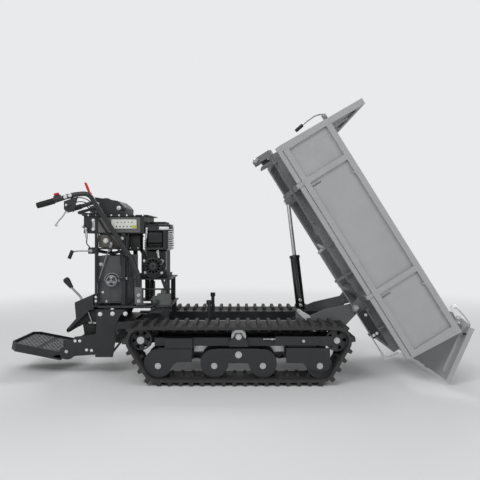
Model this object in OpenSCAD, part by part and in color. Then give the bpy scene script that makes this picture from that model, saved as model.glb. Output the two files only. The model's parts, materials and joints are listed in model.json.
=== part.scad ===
/* [Load bed] */
// Length of the load bed along its side
bed_l = 1686; // [1200:1:2200]
// Width of the load bed over its side panels
bed_w = 1000; // [900:1:1200]
// Height of the side panels
side_h = 375; // [250:1:500]
// Thickness of the side panels and the tailgate
side_t = 40; // [30:1:60]
// Rise of the headboard above the side panels
head_rise = 263; // [100:1:400]
// Thickness of the sheet in the middle of each panel
sheet_t = 6; // [3:0.5:12]
// Angle at which the bed is tipped
tip_angle = 58; // [20:1:60]
// Angle at which the tailgate hangs open, from its shut position
gate_open = 37.9; // [10:0.1:60]
// Distance from the front of the bed back to its hinge line
hinge_back = 1264; // [900:1:1500]
// Height of the side's lower edge above the hinge line, bed lowered
hinge_drop = 114.5; // [90:0.5:200]

/* [Tracks] */
// Width of one rubber track
track_w = 230; // [180:1:300]
// Distance between the centre lines of the two tracks
track_gauge = 770; // [700:1:900]
// Nominal pitch of the track's tread bars
track_pitch = 72; // [60:1:90]
// Thickness of the rubber belt without its bars
belt_t = 20; // [14:1:28]
// Height of the tread bars outside the belt
tread_h = 25; // [15:1:35]
// Height of the guide lugs inside the belt
guide_h = 25; // [18:1:27]
// Distance between the sprocket and the idler
wheelbase = 1334; // [1100:1:1700]
// Height of the sprocket and the idler above the ground
sprocket_z = 304; // [280:1:360]
// Radius of the belt's inner face round the sprocket and the idler
wrap_r = 76; // [68:1:100]
// Radius of the road wheels
road_r = 86; // [70:1:95]
// Radius of the wheel axles
axle_r = 12; // [8:0.5:16]

/* [Tipping cylinder] */
// Outer diameter of the barrel
barrel_d = 70; // [55:1:90]
// Diameter of the chrome rod
rod_d = 30; // [20:1:40]
// Radius of the pins at both ends of the cylinder
cyl_pin_r = 12; // [8:0.5:16]

/* [Operator end] */
// Diameter of the handlebar tube
bar_d = 34; // [28:1:42]
// Width of the handlebar between its grips
bar_w = 600; // [450:1:760]
// Length of the standing platform
step_l = 390; // [300:1:450]
// Width of the standing platform
step_w = 450; // [350:1:600]
// Thickness of the steel plates of the frame
plate_t = 6; // [4:0.5:10]
// Diameter of the control cables
cable_d = 9; // [6:0.5:12]
// Length of the control panel
console_l = 445; // [350:1:500]
// Width of the control panel
console_w = 400; // [300:1:480]

/* [Engine] */
// Radius of the recoil starter
starter_r = 68; // [50:1:72]

/* [Hidden] */
$fn = 48;
eps = 0.01;
// Running clearance of a shaft in its bore, and the gap between moving faces
fit = 0.05;
gap = 0.4;
far = 5000;

// Plan stations along the machine, with the rear of the load bed at +X
sprocket_x = -676;
idler_x = sprocket_x + wheelbase;
// The rear of both frames was drawn for an idler at 658 and moves with it
rear_x = idler_x - 658;
track_y = track_gauge / 2;
inner_y = track_y - track_w / 2;
outer_y = track_y + track_w / 2;
road_z = tread_h + belt_t + road_r + gap;
// The four road wheels share the length between their ends as on the drawn machine
road_span = wheelbase - 235;
road_xs = [sprocket_x + 119, sprocket_x + 119 + 382 / 1099 * road_span,
    sprocket_x + 119 + 712 / 1099 * road_span, idler_x - 116];
sprocket_at = [sprocket_x, sprocket_z];

// Circles that the belt's inner face rolls on, anticlockwise from the lower left
loop = [[road_xs[0], road_z, road_r + gap], [road_xs[3], road_z, road_r + gap],
        [idler_x, sprocket_z, wrap_r], [sprocket_x, sprocket_z, wrap_r]];
mid = belt_t / 2;
function ray(a) = [cos(a), sin(a)];
function hub_at(i) = [loop[i % 4][0], loop[i % 4][1]];
function rad_at(i) = loop[i % 4][2];
function span(i) = hub_at(i + 1) - hub_at(i);
function out_dir(i) = atan2(span(i)[1], span(i)[0]) - acos((rad_at(i) - rad_at(i + 1)) / norm(span(i)));
function turn_at(i) = (out_dir(i) - out_dir(i + 3) + 720) % 360;
function arc_len(i) = (rad_at(i) + mid) * turn_at(i) * PI / 180;
function run_len(i) = sqrt(pow(norm(span(i)), 2) - pow(rad_at(i) - rad_at(i + 1), 2));
function total(v, i = 0) = i == len(v) ? 0 : v[i] + total(v, i + 1);
loop_len = total([for (i = [0:3]) arc_len(i) + run_len(i)]);
links = round(loop_len / track_pitch);
link_l = loop_len / links;
// Point at distance s along the belt's middle, h outside it
function belt_at(s, h, i = 0) =
    s < 0 ? belt_at(s + loop_len, h) :
    s < arc_len(i) ? hub_at(i) + (rad_at(i) + mid + h)
        * ray(out_dir(i + 3) + s / (rad_at(i) + mid) * 180 / PI) :
    s < arc_len(i) + run_len(i) ? hub_at(i) + (rad_at(i) + mid + h) * ray(out_dir(i))
        + (s - arc_len(i)) * ray(out_dir(i) + 90) :
    belt_at(s - arc_len(i) - run_len(i), h, i + 1);

// A bent tube or wire: corners rounded, then a ring of points at each step
function unit(v) = v / norm(v);
function round_corners(pts, bend, n = 4) = concat([pts[0]],
    [for (i = [1:len(pts) - 2]) let (a = pts[i - 1], b = pts[i], c = pts[i + 1],
        t = min(bend, 0.45 * norm(a - b), 0.45 * norm(c - b)),
        p = b + t * unit(a - b), q = b + t * unit(c - b))
        for (k = [0:n]) let (f = k / n) (1 - f) * (1 - f) * p + 2 * f * (1 - f) * b + f * f * q],
    [pts[len(pts) - 1]]);
function heading(p, i) = i == 0 ? unit(p[1] - p[0]) :
    i == len(p) - 1 ? unit(p[i] - p[i - 1]) : unit(unit(p[i + 1] - p[i]) + unit(p[i] - p[i - 1]));
function side_of(t) = unit(abs(t[1]) < 0.9 ? cross(t, [0, 1, 0]) : cross(t, [1, 0, 0]));
function sides_along(p, i = 0, last = undef) = i == len(p) ? [] :
    let (t = heading(p, i), m = i == 0 ? side_of(t) : unit(last - (last * t) * t))
    concat([m], sides_along(p, i + 1, m));
module tube(pts, d, bend = 20, n = 10, steps = 4) {
    path = len(pts) > 2 ? round_corners(pts, bend, steps) : pts;
    normals = sides_along(path);
    count = len(path);
    polyhedron(
        points = [for (i = [0:count - 1]) let (t = heading(path, i)) for (k = [0:n - 1])
            path[i] + d / 2 * (cos(360 * k / n) * normals[i] + sin(360 * k / n) * cross(t, normals[i]))],
        faces = concat([[for (k = [0:n - 1]) k]],
            [for (i = [0:count - 2]) for (k = [0:n - 1]) let (m = (k + 1) % n)
                [i * n + k, (i + 1) * n + k, (i + 1) * n + m]],
            [for (i = [0:count - 2]) for (k = [0:n - 1]) let (m = (k + 1) % n)
                [i * n + k, (i + 1) * n + m, i * n + m]],
            [[for (k = [n - 1:-1:0]) (count - 1) * n + k]]));
}

// Shapes given by their place in the side view: x along the machine, z up, y from y0 to y1
module plate(pts, y0, y1) translate([0, y1, 0]) rotate([90, 0, 0]) linear_extrude(y1 - y0) polygon(pts);
module rod_y(x, z, r, y0, y1) translate([x, y1, z]) rotate([90, 0, 0]) cylinder(r = r, h = y1 - y0);
module block(x0, x1, y0, y1, z0, z1) translate([x0, y0, z0]) cube([x1 - x0, y1 - y0, z1 - z0]);
module both_sides() { children(); mirror([0, 1, 0]) children(); }
// Straight bar between two points
module bar(a, b, d) {
    v = b - a;
    translate(a) rotate([0, acos(v[2] / norm(v)), atan2(v[1], v[0])]) cylinder(d = d, h = norm(v));
}
// Hexagon head on a face that looks along -Y or +Y
module hex_y(x, z, across, y0, y1) translate([x, y1, z]) rotate([90, 0, 0])
    cylinder(d = across / cos(30), h = y1 - y0, $fn = 6);
// The drawing's own X is shifted so that the origin lies under the middle of the machine
module machine() translate([-centre_x, 0, 0]) children();
// Load bed drawn lowered, then tipped about its hinge line
module tipped() machine() translate([hinge_x, 0, hinge_z]) rotate([0, tip_angle, 0]) children();

// Rubber tracks
tread_l = 30;
tread_taper = 4;
guide_l = 26;
guide_w = 22;
channel = 20;
arc_step = 9;
tread_line = [for (k = [0:links - 1]) let (s = (k + 0.5) * link_l)
    each [belt_at(s - tread_l / 2, mid), belt_at(s - tread_l / 2 + tread_taper, mid + tread_h),
        belt_at(s + tread_l / 2 - tread_taper, mid + tread_h), belt_at(s + tread_l / 2, mid),
        belt_at(s + link_l / 2, mid)]];
guide_line = [for (k = [0:links - 1]) let (s = (k + 0.5) * link_l)
    each [belt_at(s - guide_l / 2, -mid), belt_at(s - guide_l / 3, -mid - guide_h),
        belt_at(s + guide_l / 3, -mid - guide_h), belt_at(s + guide_l / 2, -mid),
        belt_at(s + link_l / 3, -mid), belt_at(s + link_l / 2, -mid)]];
inner_line = [for (i = [0:3]) let (n = ceil(turn_at(i) / arc_step)) for (k = [0:n])
    hub_at(i) + rad_at(i) * ray(out_dir(i + 3) + turn_at(i) * k / n)];
core_line = [for (i = [0:3]) let (n = ceil(turn_at(i) / arc_step)) for (k = [0:n])
    hub_at(i) + (rad_at(i) + mid) * ray(out_dir(i + 3) + turn_at(i) * k / n)];
module ring(outside, inside, y0, y1) difference() {
    plate(outside, y0, y1);
    plate(inside, y0 - 1, y1 + 1);
}
// side is -1 for the left track, seen from the operator's platform, and +1 for the right
module rubber_track(side) color("dimgray") machine() translate([0, side * track_y, 0]) {
    ring(tread_line, inner_line, -track_w / 2, track_w / 2);
    ring(core_line, guide_line, -channel - guide_w, -channel);
    ring(core_line, guide_line, channel, channel + guide_w);
}

// Wheels that run inside the belt; each turns on its own axle pin
disc_in = channel + guide_w + 5;
disc_w = 30;
disc_out = disc_in + disc_w;
hub_out = disc_out + 3 - gap;
sprocket_teeth = 8;
sprocket_hub_r = 34;
module wheel_disc(r, rim, spokes, y0, y1) difference() {
    rod_y(0, 0, r, y0, y1);
    for (k = [0:spokes - 1]) rotate([0, k * 360 / spokes, 0])
        plate([[r * 0.52, -r * 0.05], [r * 0.52, r * 0.13], [r - rim, r * 0.26], [r - rim, -r * 0.18]],
            y0 - 1, y1 + 1);
}
module at_wheel(x, z, side) machine() translate([x, side * track_y, z]) children();
module axle_bore(r, y0, y1) rod_y(0, 0, r + fit, y0, y1);
module sprocket(side) color("dimgray") at_wheel(sprocket_x, sprocket_z, side) difference() {
    union() {
        wheel_disc(wrap_r - 4, 11, 6, -disc_in - 12, -disc_in);
        wheel_disc(wrap_r - 4, 11, 6, disc_in, disc_in + 12);
        rod_y(0, 0, sprocket_hub_r, -disc_out, disc_out);
        plate([for (k = [0:sprocket_teeth - 1], t = [[-20, 22], [-9, 9], [-5, 1], [5, 1], [9, 9], [20, 22]])
            (wrap_r - t[1]) * ray(k * 360 / sprocket_teeth + t[0])], -13, 13);
    }
    axle_bore(drive_shaft_r, -far, far);
}
module idler(side) color("dimgray") at_wheel(idler_x, sprocket_z, side) difference() {
    union() {
        wheel_disc(wrap_r - 0.6, 12, 5, -disc_out, -disc_in);
        wheel_disc(wrap_r - 0.6, 12, 5, disc_in, disc_out);
        rod_y(0, 0, 36, -hub_out, hub_out);
    }
    axle_bore(axle_r, -far, far);
}
module road_wheel(i, side) color("dimgray") at_wheel(road_xs[i], road_z, side) difference() {
    union() {
        both_sides() rod_y(0, 0, road_r, disc_in, disc_out);
        rod_y(0, 0, 40, -hub_out, hub_out);
    }
    both_sides() rotate([90, 0, 0]) translate([0, 0, -disc_out - 1]) difference() {
        cylinder(r = road_r - 12, h = 13);
        translate([0, 0, -1]) cylinder(r = 48, h = 15);
    }
    axle_bore(axle_r, -far, far);
}
carrier_r = 50;
carrier_z = sprocket_z + wrap_r - carrier_r - gap;
carrier_x = sprocket_x + wheelbase / 2;
module carrier_roller(side) color("silver") at_wheel(carrier_x, carrier_z, side) difference() {
    union() {
        both_sides() rod_y(0, 0, carrier_r, disc_in, disc_out);
        rod_y(0, 0, axle_r + 8, -hub_out, hub_out);
    }
    axle_bore(axle_r, -far, far);
}

// Track frames: a centre beam above the road wheels and a pair of plates for every axle
plate_in = disc_out + 3;
plate_out = plate_in + plate_t;
cover_r = 95;
cover_lift = 19;
beam_z0 = 262;
beam_z1 = 318;
bogie_x = (road_xs[1] + road_xs[2]) / 2;
bogie_z = road_z + 76;
bogie_pin_r = 14;
bolt_t = 9;
module handed(side) machine() mirror([0, side > 0 ? 1 : 0, 0]) children();
module side_plate(pts, o0, o1) plate(pts, -track_y - o1, -track_y - o0);
module side_rod(x, z, r, o0, o1) rod_y(x, z, r, -track_y - o1, -track_y - o0);
module side_block(x0, x1, o0, o1, z0, z1) block(x0, x1, -track_y - o1, -track_y - o0, z0, z1);
module side_hex(x, z, across, o0, o1) hex_y(x, z, across, -track_y - o1, -track_y - o0);
module twin_plates(pts) { side_plate(pts, plate_in, plate_out); side_plate(pts, -plate_out, -plate_in); }
module twin_covers(x) {
    side_rod(x, road_z + cover_lift, cover_r, plate_in, plate_out);
    side_rod(x, road_z + cover_lift, cover_r, -plate_out, -plate_in);
}
// Pin through both plates; seat is the play between its washers and the plates
module axle_pin(x, z, r, seat = -eps) {
    side_rod(x, z, r, -plate_out - 4, plate_out + 4);
    side_rod(x, z, r + 9, plate_out + seat, plate_out + 3);
    side_hex(x, z, 2 * r, plate_out + 2, plate_out + 3 + bolt_t);
    side_rod(x, z, r + 6, -plate_out - 4, -plate_out - seat);
}
front_arm = [[road_xs[0], road_z + cover_lift + cover_r], [-327, road_z + cover_lift + cover_r],
    [-327, 156], [-430, 156], [-454, 140], [road_xs[0], 100]];
rear_arm = [[rear_x + 314, 252], [idler_x - 47, 252], [idler_x - 47, 190], [road_xs[3] + 70, 110],
    [road_xs[3], 90], [road_xs[3] - 80, 110], [rear_x + 426, 150], [rear_x + 314, 150]];
carrier_arm = [[carrier_x - 65, beam_z0], [carrier_x + 65, beam_z0], [carrier_x + 65, 297],
    [carrier_x + 33, 326], [carrier_x + 19, carrier_z + 22], [carrier_x - 21, carrier_z + 22],
    [carrier_x - 35, 326], [carrier_x - 65, 297]];
yoke = [[idler_x - 120, 267], [idler_x + 8, 267], [idler_x + 26, 288], [idler_x + 26, 318],
    [idler_x + 8, 332], [idler_x - 120, 332]];
module track_frame(side) color("#2b2c2e") handed(side) {
    difference() {
        side_block(sprocket_x + 92, idler_x - 105, -track_w / 2 + 2, 60, beam_z0, beam_z1);
        side_block(carrier_x - carrier_r - 4, carrier_x + carrier_r + 4, -plate_in, far,
            carrier_z - carrier_r - 4, far);
    }
    side_block(sprocket_x + 92, idler_x - 105, -track_w / 2 + 2, -plate_out - 1, 190, 330);
    twin_plates(front_arm);
    twin_covers(road_xs[0]);
    side_block(-511, -324, 59, plate_out, 252, beam_z1);
    side_block(road_xs[0], -327, -plate_in, plate_in, 245, 252);
    side_block(-511, -327, -59, 59, 251, beam_z0 + 1);
    axle_pin(road_xs[0], road_z, axle_r);
    twin_plates(rear_arm);
    side_block(rear_x + 314, idler_x - 120, -plate_in, plate_in, 245, 252);
    side_block(rear_x + 330, rear_x + 520, -59, 59, 251, beam_z0 + 1);
    axle_pin(road_xs[3], road_z, axle_r);
    twin_plates(carrier_arm);
    side_block(carrier_x - 61, carrier_x + 59, -plate_in - eps, plate_in + eps, beam_z0, beam_z0 + 13);
    axle_pin(carrier_x, carrier_z, axle_r);
    side_block(bogie_x - 30, bogie_x + 30, -disc_in + 12, disc_in - 12, bogie_z - 24, beam_z0 + 1);
    axle_pin(bogie_x, bogie_z, bogie_pin_r, gap);
    side_block(rear_x + 241, idler_x - 120, 59, plate_out + 8, 274, 332);
    side_block(rear_x + 241, idler_x - 120, -plate_in, -59, 274, 332);
    twin_plates(yoke);
    side_block(idler_x - 120, idler_x - 100, -plate_in, plate_in, 267, 332);
    axle_pin(idler_x, sprocket_z, axle_r);
    translate([rear_x + 163, -track_y - 76, 312]) rotate([0, 90, 0]) cylinder(r = 5, h = 79);
    translate([rear_x + 159, -track_y - 76, 312]) rotate([0, 90, 0]) cylinder(r = 8, h = 6);
    translate([rear_x + 213, -track_y - 76, 312]) rotate([0, 90, 0]) cylinder(d = 24, h = 12, $fn = 6);
    side_hex(rear_x + 430, 303, 19, plate_out + 8 - eps, plate_out + 16);
}
bogie_side = [[bogie_x - 149, 248], [bogie_x + 144, 248], [road_xs[2] + 30, 120], [bogie_x + 92, 120],
    [bogie_x + 63, 148], [bogie_x - 68, 148], [bogie_x - 92, 120], [road_xs[1] - 30, 120]];
module bogie(side) color("#3a3b3d") handed(side) {
    difference() {
        union() {
            twin_plates(bogie_side);
            twin_covers(road_xs[1]);
            twin_covers(road_xs[2]);
        }
        side_rod(bogie_x, bogie_z, bogie_pin_r + fit, -far, far);
    }
    axle_pin(road_xs[1], road_z, axle_r);
    axle_pin(road_xs[2], road_z, axle_r);
}

// Drive shafts carry the sprockets outboard of the gearbox
drive_shaft_r = 18;
gearbox_y = 120;
module drive_shaft(side) color("silver") handed(side) {
    side_rod(sprocket_x, sprocket_z, drive_shaft_r, gearbox_y - track_y - 58, disc_out + 2);
    side_rod(sprocket_x, sprocket_z, 25, disc_out + gap, disc_out + 5);
    side_hex(sprocket_x, sprocket_z, 24, disc_out + 4, disc_out + 14);
    side_rod(sprocket_x, sprocket_z, 25, -disc_out - 8, -disc_out - gap);
}

// Main frame between the tracks
rail_x0 = -790;
rail_out = inner_y - 8;
rail_in = rail_out - 50;
rail_z0 = 330;
rail_z1 = 400;
deck_z = 508;
hinge_x = rear_x + 840.6;
hinge_z = 490;
hinge_r = 16;
ear_in = 222;
ear_t = 8;
post_x = rear_x - 224;
post_y = 248;
sub_lift = 59.5;
gusset = [[430, rail_z0], [430, rail_z1 + 4], [604, 476], [826, 527], [862, 514], [874, hinge_z],
    [862, 462], [776, 372], [736, rail_z0]];
module gusset_plate() difference() {
    translate([rear_x, 0, 0]) plate(gusset, -ear_in - ear_t, -ear_in);
    rod_y(hinge_x, hinge_z, hinge_r + fit, -far, far);
}
cyl_x = rear_x + 481;
cyl_z = 364;
cross_x = rear_x + 300;
cyl_cheek = barrel_d / 2 + 2;
module chassis_frame() color("#232426") machine() {
    both_sides() {
        block(rail_x0, rear_x + 720, -rail_out, -rail_in, rail_z0, rail_z1);
        gusset_plate();
        translate([post_x, -post_y, rail_z1 - eps]) cylinder(r = 14, h = hinge_z + sub_lift - 28 - rail_z1);
        translate([post_x, -post_y, hinge_z + sub_lift - 30]) cylinder(r = 20, h = 30 - gap);
        block(-330, -250, -inner_y - 2, -rail_in, 262, 318);
        block(cross_x, cross_x + 80, -inner_y - 2, -rail_in, 262, 318);
    }
    block(-330, -250, -rail_in, rail_in, 262, 318);
    block(cross_x, cross_x + 80, -rail_in, rail_in, 262, 318);
    both_sides() block(-330, -250, -rail_out, -rail_in, 318 - eps, rail_z0 + eps);
    both_sides() block(cross_x, cross_x + 80, -rail_out, -rail_in, 318 - eps, rail_z0 + eps);
    block(rear_x + 680, rear_x + 720, -rail_in - eps, rail_in + eps, rail_z0, rail_z1);
    both_sides() plate([[cross_x, 290], [cross_x + 80, 290], [cyl_x + 34, cyl_z - 20], [cyl_x + 30,
        cyl_z + 20], [cyl_x - 10, cyl_z + 34], [cross_x, 318]], -cyl_cheek - 10, -cyl_cheek);
    rod_y(cyl_x, cyl_z, cyl_pin_r, -cyl_cheek - 16, cyl_cheek + 16);
    translate([rear_x, 0, 0]) plate([[405, rail_z1 - eps], [405, 478], [412, 488], [434, 488], [474, 432],
        [474, rail_z1 - eps]], -ear_in - ear_t, -ear_in);
    rod_y(lock_pin[0], lock_pin[1], 6, -ear_in - ear_t - 9, -ear_in - ear_t + eps);
    rod_y(lock_pin[0], lock_pin[1], 10, -ear_in - ear_t - 11, -ear_in - ear_t - 8);
}

// Front end of the frame: cross box, deck on posts and two side plates
plate_y = 240;
deck_x0 = -1066;
deck_x1 = -505;
deck_y = 232;
stand_z = 690;
belt_y0 = gearbox_y + 8;
belt_y1 = belt_y0 + 36;
side_outline = concat([[-922, 136], [-1050, 136], [-1041, 481], [-810, 481]],
    [for (a = [132:6:192]) sprocket_at + 232 * ray(a)]);
step_pin = [-1257, 178];
step_pin_r = 10;
arm_outline = [[-930, 300], [-1050, 300], [-1200, 282], [-1282, 196], [-1278, 150], [-1240, 140],
    [-1100, 150], [-930, 160]];
module front_deck() color("#232426") machine() {
    block(-1000, rail_x0, -plate_y, plate_y, 340, 390);
    both_sides() block(rail_x0 - 30, rail_x0, -rail_out, -rail_in, rail_z0, rail_z1);
    difference() {
        block(deck_x0, deck_x1, -deck_y, deck_y, deck_z - 10, deck_z);
        block(-810, -530, belt_y0 - 6, belt_y1 + 6, 0, far);
        block(-790, -560, -90, 90, 0, far);
    }
    both_sides() {
        plate(side_outline, -plate_y - plate_t, -plate_y + eps);
        block(-990, -950, -deck_y, -deck_y + 40, 390 - eps, deck_z - 9);
        block(-560, -520, -deck_y, -deck_y + 30, rail_z1, deck_z - 9);
        block(-965, -890, -plate_y, -plate_y + 30, 300, 341);
        plate(arm_outline, -plate_y + 1, -plate_y + 9);
        rod_y(step_pin[0], step_pin[1], step_pin_r, -plate_y - 6, -step_w / 2 + 14);
        hex_y(step_pin[0], step_pin[1], 24, -plate_y - 12, -plate_y - 5);
        translate([-944, -deck_y - 6, deck_z - 6]) rotate([0, 90, 0]) cylinder(r = 8, h = 420);
        block(-1000, -930, -plate_y + 1, -plate_y + 30, 160, 341);
    }
    engine_stand();
}
// Engine stand: four legs and a tray above the deck
module engine_stand() {
    for (x = [-770, -560], y = [-150, belt_y1 + 10]) block(x, x + 34, y, y + 30, deck_z - eps,
        stand_z + eps);
    difference() {
        block(-800, -510, -165, 205, stand_z, stand_z + 10);
        block(-790, -570, belt_y0 - 6, belt_y1 + 6, 0, far);
    }
    plate([[-526, deck_z], [-510, deck_z], [-526, 600], [-570, stand_z], [-590, stand_z]], -150, -142);
}

// Engine: crankcase and finned cylinder, blower housing, tank, exhaust and filter
crank = [-640, 792];
module engine_block() color("#47484b") machine() {
    block(-770, -540, -95, 110, stand_z + 10, stand_z + 40);
    difference() {
        block(-745, -555, -95, 100, stand_z + 40 - eps, 905);
        block(-721, -579, -far, -70, stand_z + 52, 880);
    }
    for (k = [0:5]) block(-730, -560, -68, 90, 912 + k * 13, 918 + k * 13);
    block(-715, -575, -62, 75, 905 - eps, 996);
    block(-705, -585, -60, 70, 990, 1012);
    rod_y(crank[0], crank[1], 20, 100 - eps, belt_y1 + 4);
}
module blower_housing() color("#303134") machine() {
    difference() {
        union() {
            rod_y(crank[0], crank[1], starter_r + 22, -172, -95.3);
            block(crank[0] - 60, crank[0] + 90, -172, -95.3, crank[1], 900);
        }
        rod_y(crank[0], crank[1], starter_r + 14, -164, -90);
    }
    difference() {
        rod_y(crank[0], crank[1], starter_r, -188, -171);
        for (k = [0:11]) translate([crank[0], 0, crank[1]]) rotate([0, k * 30, 0])
            block(36, starter_r - 12, -200, -180, -6, 6);
    }
    rod_y(crank[0], crank[1], 30, -196, -187);
}
tank_z0 = 932;
tank_z1 = 1022;
filler = [-965, 240];
filler_r = 24;
module fuel_tank() color("#5f5a55") machine() difference() {
    union() {
        block(-1040, -880, -188, 188, tank_z0, tank_z1);
        block(-1044, -876, -192, 192, 974, 982);
        block(-1030, -925, 188 - eps, 282, 960, tank_z1);
        translate([filler[0], filler[1], tank_z1 - eps]) cylinder(r = filler_r + 8, h = 12);
    }
    block(-1036, -884, -184, 184, tank_z0 + 4, tank_z1 - 4);
    block(-1026, -929, 180, 278, 964, tank_z1 - 4);
    translate([filler[0], filler[1], tank_z1 - 10]) cylinder(r = filler_r, h = 40);
}
module fuel_cap() color("#1c1d1f") machine() translate([filler[0], filler[1], tank_z1 + 12]) {
    cylinder(r = filler_r + 12, h = 14);
    translate([0, 0, -20]) cylinder(r = filler_r - 0.4, h = 21);
}
module muffler() color("#2a2b2d") machine() {
    difference() {
        block(-698, -512, -190, -76, 914, 1094);
        block(-686, -560, -far, -182, 930, 1050);
        block(-694, -516, -186, -80, 918, 1090);
    }
    block(-560, -545, -197, -190 + eps, 920, 1090);
    block(-694, -520, -197, -190 + eps, 1056, 1088);
    block(-680, -620, -76 - eps, -68, 935, 975);
    for (k = [0:8]) block(-512 - eps, -503, -186, -84, 920 + k * 19, 928 + k * 19);
}
module air_cleaner() color("#26272a") machine() {
    block(-694, -560, -60, 160, 1012.3, 1100);
    block(-690, -570, -50, 150, 1100 - eps, 1124);
    translate([-630, 160 - eps, 1058]) rotate([-90, 0, 0]) cylinder(r = 14, h = 12);
}

// Belt drive from the crankshaft to the gearbox, on the right of the engine
gear_in = [-640, 401];
pulley_r = 58;
gear_pulley_r = 78;
module pulley(r, y0, y1) {
    h = y1 - y0;
    translate([0, y1, 0]) rotate([90, 0, 0]) rotate_extrude()
        polygon([[0, 0], [r, 0], [r, 3], [r - 14, h / 2 - 3], [r - 14, h / 2 + 3], [r, h - 3], [r, h],
            [0, h]]);
}
module engine_pulley() color("#6a6c70") machine() difference() {
    translate([crank[0], 0, crank[1]]) pulley(pulley_r, belt_y0, belt_y1);
    rod_y(crank[0], crank[1], 20 + fit, -far, far);
}
module gearbox_pulley() color("#6a6c70") machine() difference() {
    translate([gear_in[0], 0, gear_in[1]]) pulley(gear_pulley_r, belt_y0, belt_y1);
    rod_y(gear_in[0], gear_in[1], 14 + fit, -far, far);
}
belt_mid = (belt_y0 + belt_y1) / 2;
module drive_belt() color("#17181a") machine() {
    lean = asin((gear_pulley_r - pulley_r) / norm(crank - gear_in));
    wraps = [[crank, pulley_r, lean, 180 - lean], [gear_in, gear_pulley_r, 180 - lean, 360 + lean]];
    ring([for (w = wraps, f = [0:0.0625:1]) w[0] + (w[1] + 3) * ray(w[2] + f * (w[3] - w[2]))],
        [for (w = wraps, f = [0:0.0625:1]) w[0] + (w[1] - 11) * ray(w[2] + f * (w[3] - w[2]))],
        belt_mid - 5, belt_mid + 5);
}
module gearbox() color("#4c4e50") machine() {
    difference() {
        union() {
            plate([[-786, 250], [-760, 215], [-600, 215], [-566, 250], [-566, 400], [-600, 436], [-690,
                436],
                [-786, 350]], -gearbox_y, gearbox_y);
            for (x = [-770, -590]) block(x, x + 8, -gearbox_y - 6, gearbox_y + 6, 240, 380);
        }
        both_sides() rod_y(sprocket_x, sprocket_z, drive_shaft_r + fit, -gearbox_y - 1, -gearbox_y + 60);
    }
    rod_y(gear_in[0], gear_in[1], 14, gearbox_y - eps, belt_y1 + 4);
    both_sides() block(-786, -740, -rail_in, -gearbox_y + eps, 345, 388);
}

// Standing platform, hinged on the arms of the frame so that it folds up
step_slope = 11;
step_x1 = -1300;
step_top = 151;
step_frame_t = 34;
module on_step() machine() translate([step_x1, 0, step_top]) rotate([0, step_slope, 0]) children();
module standing_platform() color("#1d1e20") {
    on_step() {
        difference() {
            block(-step_l, 0, -step_w / 2, step_w / 2, -step_frame_t, 0);
            block(-step_l + 6, -6, -step_w / 2 + 6, step_w / 2 - 6, -step_frame_t - 1, -4);
            for (y = [-step_w / 2 + 24, 10]) block(-step_l + 24, -24, y, y + step_w / 2 - 34, -10, 10);
        }
        for (x = [-step_l + 40:22:-30])
            block(x, x + 4, -step_w / 2 + 6 - eps, step_w / 2 - 6 + eps, -10, -4 + eps);
        for (y = [-step_w / 2 + 40:22:step_w / 2 - 30])
            block(-step_l + 6 - eps, -6 + eps, y, y + 4, -9, -5);
    }
    machine() difference() {
        both_sides() plate([[step_x1 - 60, 142], [step_x1 + 2, 154], [step_pin[0] - 20, 196],
            [step_pin[0] + 4, 200], [step_pin[0] + 22, 180], [step_pin[0] + 8, 158], [step_x1 + 2, 120],
            [step_x1 - 60, 130]], -step_w / 2, -step_w / 2 + 8);
        rod_y(step_pin[0], step_pin[1], step_pin_r + fit, -far, far);
    }
}

// Knee guard that also holds the shift lever
guard_x1 = deck_x0 - 2;
guard = [[-1229, 520], [-1089, 582], [guard_x1, 520], [guard_x1, 330], [-1120, 330], [-1120, 465],
    [-1290, 310], [-1300, 322], [-1219, 400]];
shift_pin = [-1150, 490];
module lever_housing() color("#2c2d30") machine() {
    plate(guard, -226, -220);
    plate(guard, 40, 46);
    difference() {
        plate([[-1229, 520], [-1089, 582], [-1086, 574], [-1226, 512]], -222, 42);
        block(-1212, -1122, -195, -169, 400, far);
    }
    block(guard_x1 - 10, -1000, -222, 42, 340, 390);
    rod_y(shift_pin[0], shift_pin[1], 16, -222, -196);
    rod_y(shift_pin[0], shift_pin[1], 8, -196 - eps, -168);
}
module shift_lever() color("#1a1b1c") machine() {
    difference() {
        rod_y(shift_pin[0], shift_pin[1], 18, -194, -170);
        rod_y(shift_pin[0], shift_pin[1], 8 + fit, -far, far);
    }
    tube([[-1154, -182, 503], [-1174, -182, 564], [-1240, -182, 630], [-1262, -182, 662]], 12, 20, 10);
    translate([-1240, -182, 632]) rotate([0, -35, 0]) {
        cylinder(r1 = 13, r2 = 25, h = 70);
        translate([0, 0, 70 - eps]) cylinder(r1 = 25, r2 = 17, h = 16);
    }
}

// Oil tank, cable quadrant and pump
quad_at = [-940, 686];
module hydraulic_tank() color("#4b4c4e") machine() {
    difference() {
        block(-1043, -830, -186, 190, 520, 868);
        block(-1037, -836, -180, 184, 526, 862);
    }
    for (x = [-1000, -870]) block(x, x + 30, -150, 150, deck_z, 520 + eps);
    translate([-1010, 110, 868 - eps]) cylinder(r = 22, h = 20);
    difference() {
        rod_y(quad_at[0], quad_at[1], 59, -200, -190);
        rod_y(quad_at[0], quad_at[1], 52, -far, -180);
        block(-far, far, -far, -189, quad_at[1] - far, quad_at[1] + 2);
    }
    rod_y(quad_at[0], quad_at[1], 34, -216, -186 + eps);
    rod_y(quad_at[0], quad_at[1], 12, -224, -215);
    block(quad_at[0] - 55, quad_at[0] + 60, -192, -186 + eps, quad_at[1] - 8, quad_at[1] + 8);
    block(quad_at[0] + 50, quad_at[0] + 70, -212, -186 + eps, quad_at[1] + 10, quad_at[1] + 24);
}
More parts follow.
